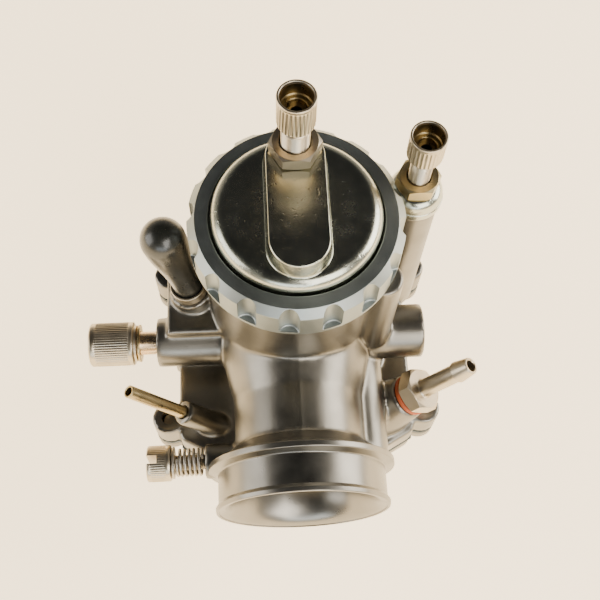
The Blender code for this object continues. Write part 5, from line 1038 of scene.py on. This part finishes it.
def area_light(name, position, target, size, power, colour):
    lamp = bpy.data.lights.new(name, "AREA")
    lamp.shape = "RECTANGLE"
    lamp.size, lamp.size_y = size
    lamp.energy = power
    lamp.color = colour
    item = bpy.data.objects.new(name, lamp)
    item.location = position
    item.rotation_euler = (Vector(target) - Vector(position)).to_track_quat("-Z", "Y").to_euler()
    bpy.context.scene.collection.objects.link(item)


def make_floor():
    size = 3.0
    shape = bmesh.new()
    bmesh.ops.create_grid(shape, x_segments=8, y_segments=8, size=size)
    mesh = bpy.data.meshes.new("floor")
    shape.to_mesh(mesh)
    shape.free()
    floor = bpy.data.objects.new("floor", mesh)
    floor.location = (0.0, 0.0, cad_box[0][2] - 0.0002)
    graph = Graph("pale_floor")
    patches = graph.noise(3.0, 3.0)
    graph.link(graph.blend(graph.ranged(patches, 0.0, 1.0), (0.88, 0.80, 0.67), (0.84, 0.76, 0.635)),
               graph.shader.inputs["Base Color"])
    graph.shader.inputs["Roughness"].default_value = 0.75
    graph.shader.inputs["Emission Color"].default_value = (1.0, 0.76, 0.44, 1.0)
    graph.shader.inputs["Emission Strength"].default_value = 2.9
    mesh.materials.append(graph.material)
    bpy.context.scene.collection.objects.link(floor)


def make_world():
    """A dim studio: pale near the horizon and dark overhead."""
    world = bpy.data.worlds.new("studio")
    bpy.context.scene.world = world
    world.use_nodes = True
    nodes, links = world.node_tree.nodes, world.node_tree.links
    coords = nodes.new("ShaderNodeTexCoord")
    split = nodes.new("ShaderNodeSeparateXYZ")
    ramp = nodes.new("ShaderNodeValToRGB")
    links.new(coords.outputs["Generated"], split.inputs[0])
    links.new(split.outputs[2], ramp.inputs[0])
    links.new(ramp.outputs[0], nodes["Background"].inputs["Color"])
    steps = ((0.0, (0.62, 0.57, 0.49)), (0.30, (0.42, 0.39, 0.35)), (0.62, (0.05, 0.05, 0.048)),
             (1.0, (0.022, 0.022, 0.024)))
    elements = ramp.color_ramp.elements
    for index, (place, colour) in enumerate(steps):
        element = elements[index] if index < 2 else elements.new(place)
        element.position = place
        element.color = (*colour, 1.0)
    nodes["Background"].inputs["Strength"].default_value = 1.0


def make_camera():
    azimuth, elevation, roll = (math.radians(angle) for angle in (-5.85, 65.5, 3.25))
    back = Vector((math.sin(azimuth) * math.cos(elevation), -math.cos(azimuth) * math.cos(elevation),
                   math.sin(elevation)))
    right = Vector((0.0, 0.0, 1.0)).cross(back).normalized()
    up = back.cross(right)
    tilted_right = right * math.cos(roll) + up * math.sin(roll)
    tilted_up = up * math.cos(roll) - right * math.sin(roll)
    lens = bpy.data.cameras.new("camera")
    lens.sensor_width = 36.0
    lens.lens = 55.95
    lens.clip_start = 0.01
    camera = bpy.data.objects.new("camera", lens)
    camera.matrix_world = Matrix((tilted_right, tilted_up, back)).transposed().to_4x4()
    camera.location = Vector((-9.93, -116.49, 323.1)) * MM
    bpy.context.scene.collection.objects.link(camera)
    bpy.context.scene.camera = camera


make_casting()
make_cover()
make_ring_nut()
make_cable_parts()
make_choke()
make_throttle()
make_idle_screw()
make_mixture_screw()
make_side_plug()
make_inlet()
make_vent()
make_primer()
make_bowl()
finish_cad_pieces()
make_floor()
make_world()
make_camera()
centre = (0.0, -0.01, 0.06)
area_light("key", (0.45, -0.75, 0.75), centre, (0.7, 0.7), 10.0, (1.0, 0.95, 0.87))
area_light("left_fill", (-0.9, -0.1, 0.45), centre, (0.7, 0.6), 5.0, (1.0, 0.97, 0.92))
area_light("right_fill", (0.9, 0.15, 0.5), centre, (0.7, 0.6), 10.0, (1.0, 0.94, 0.85))
area_light("front", (-0.1, -0.9, 0.35), centre, (0.8, 0.3), 2.5, (0.86, 0.94, 1.0))
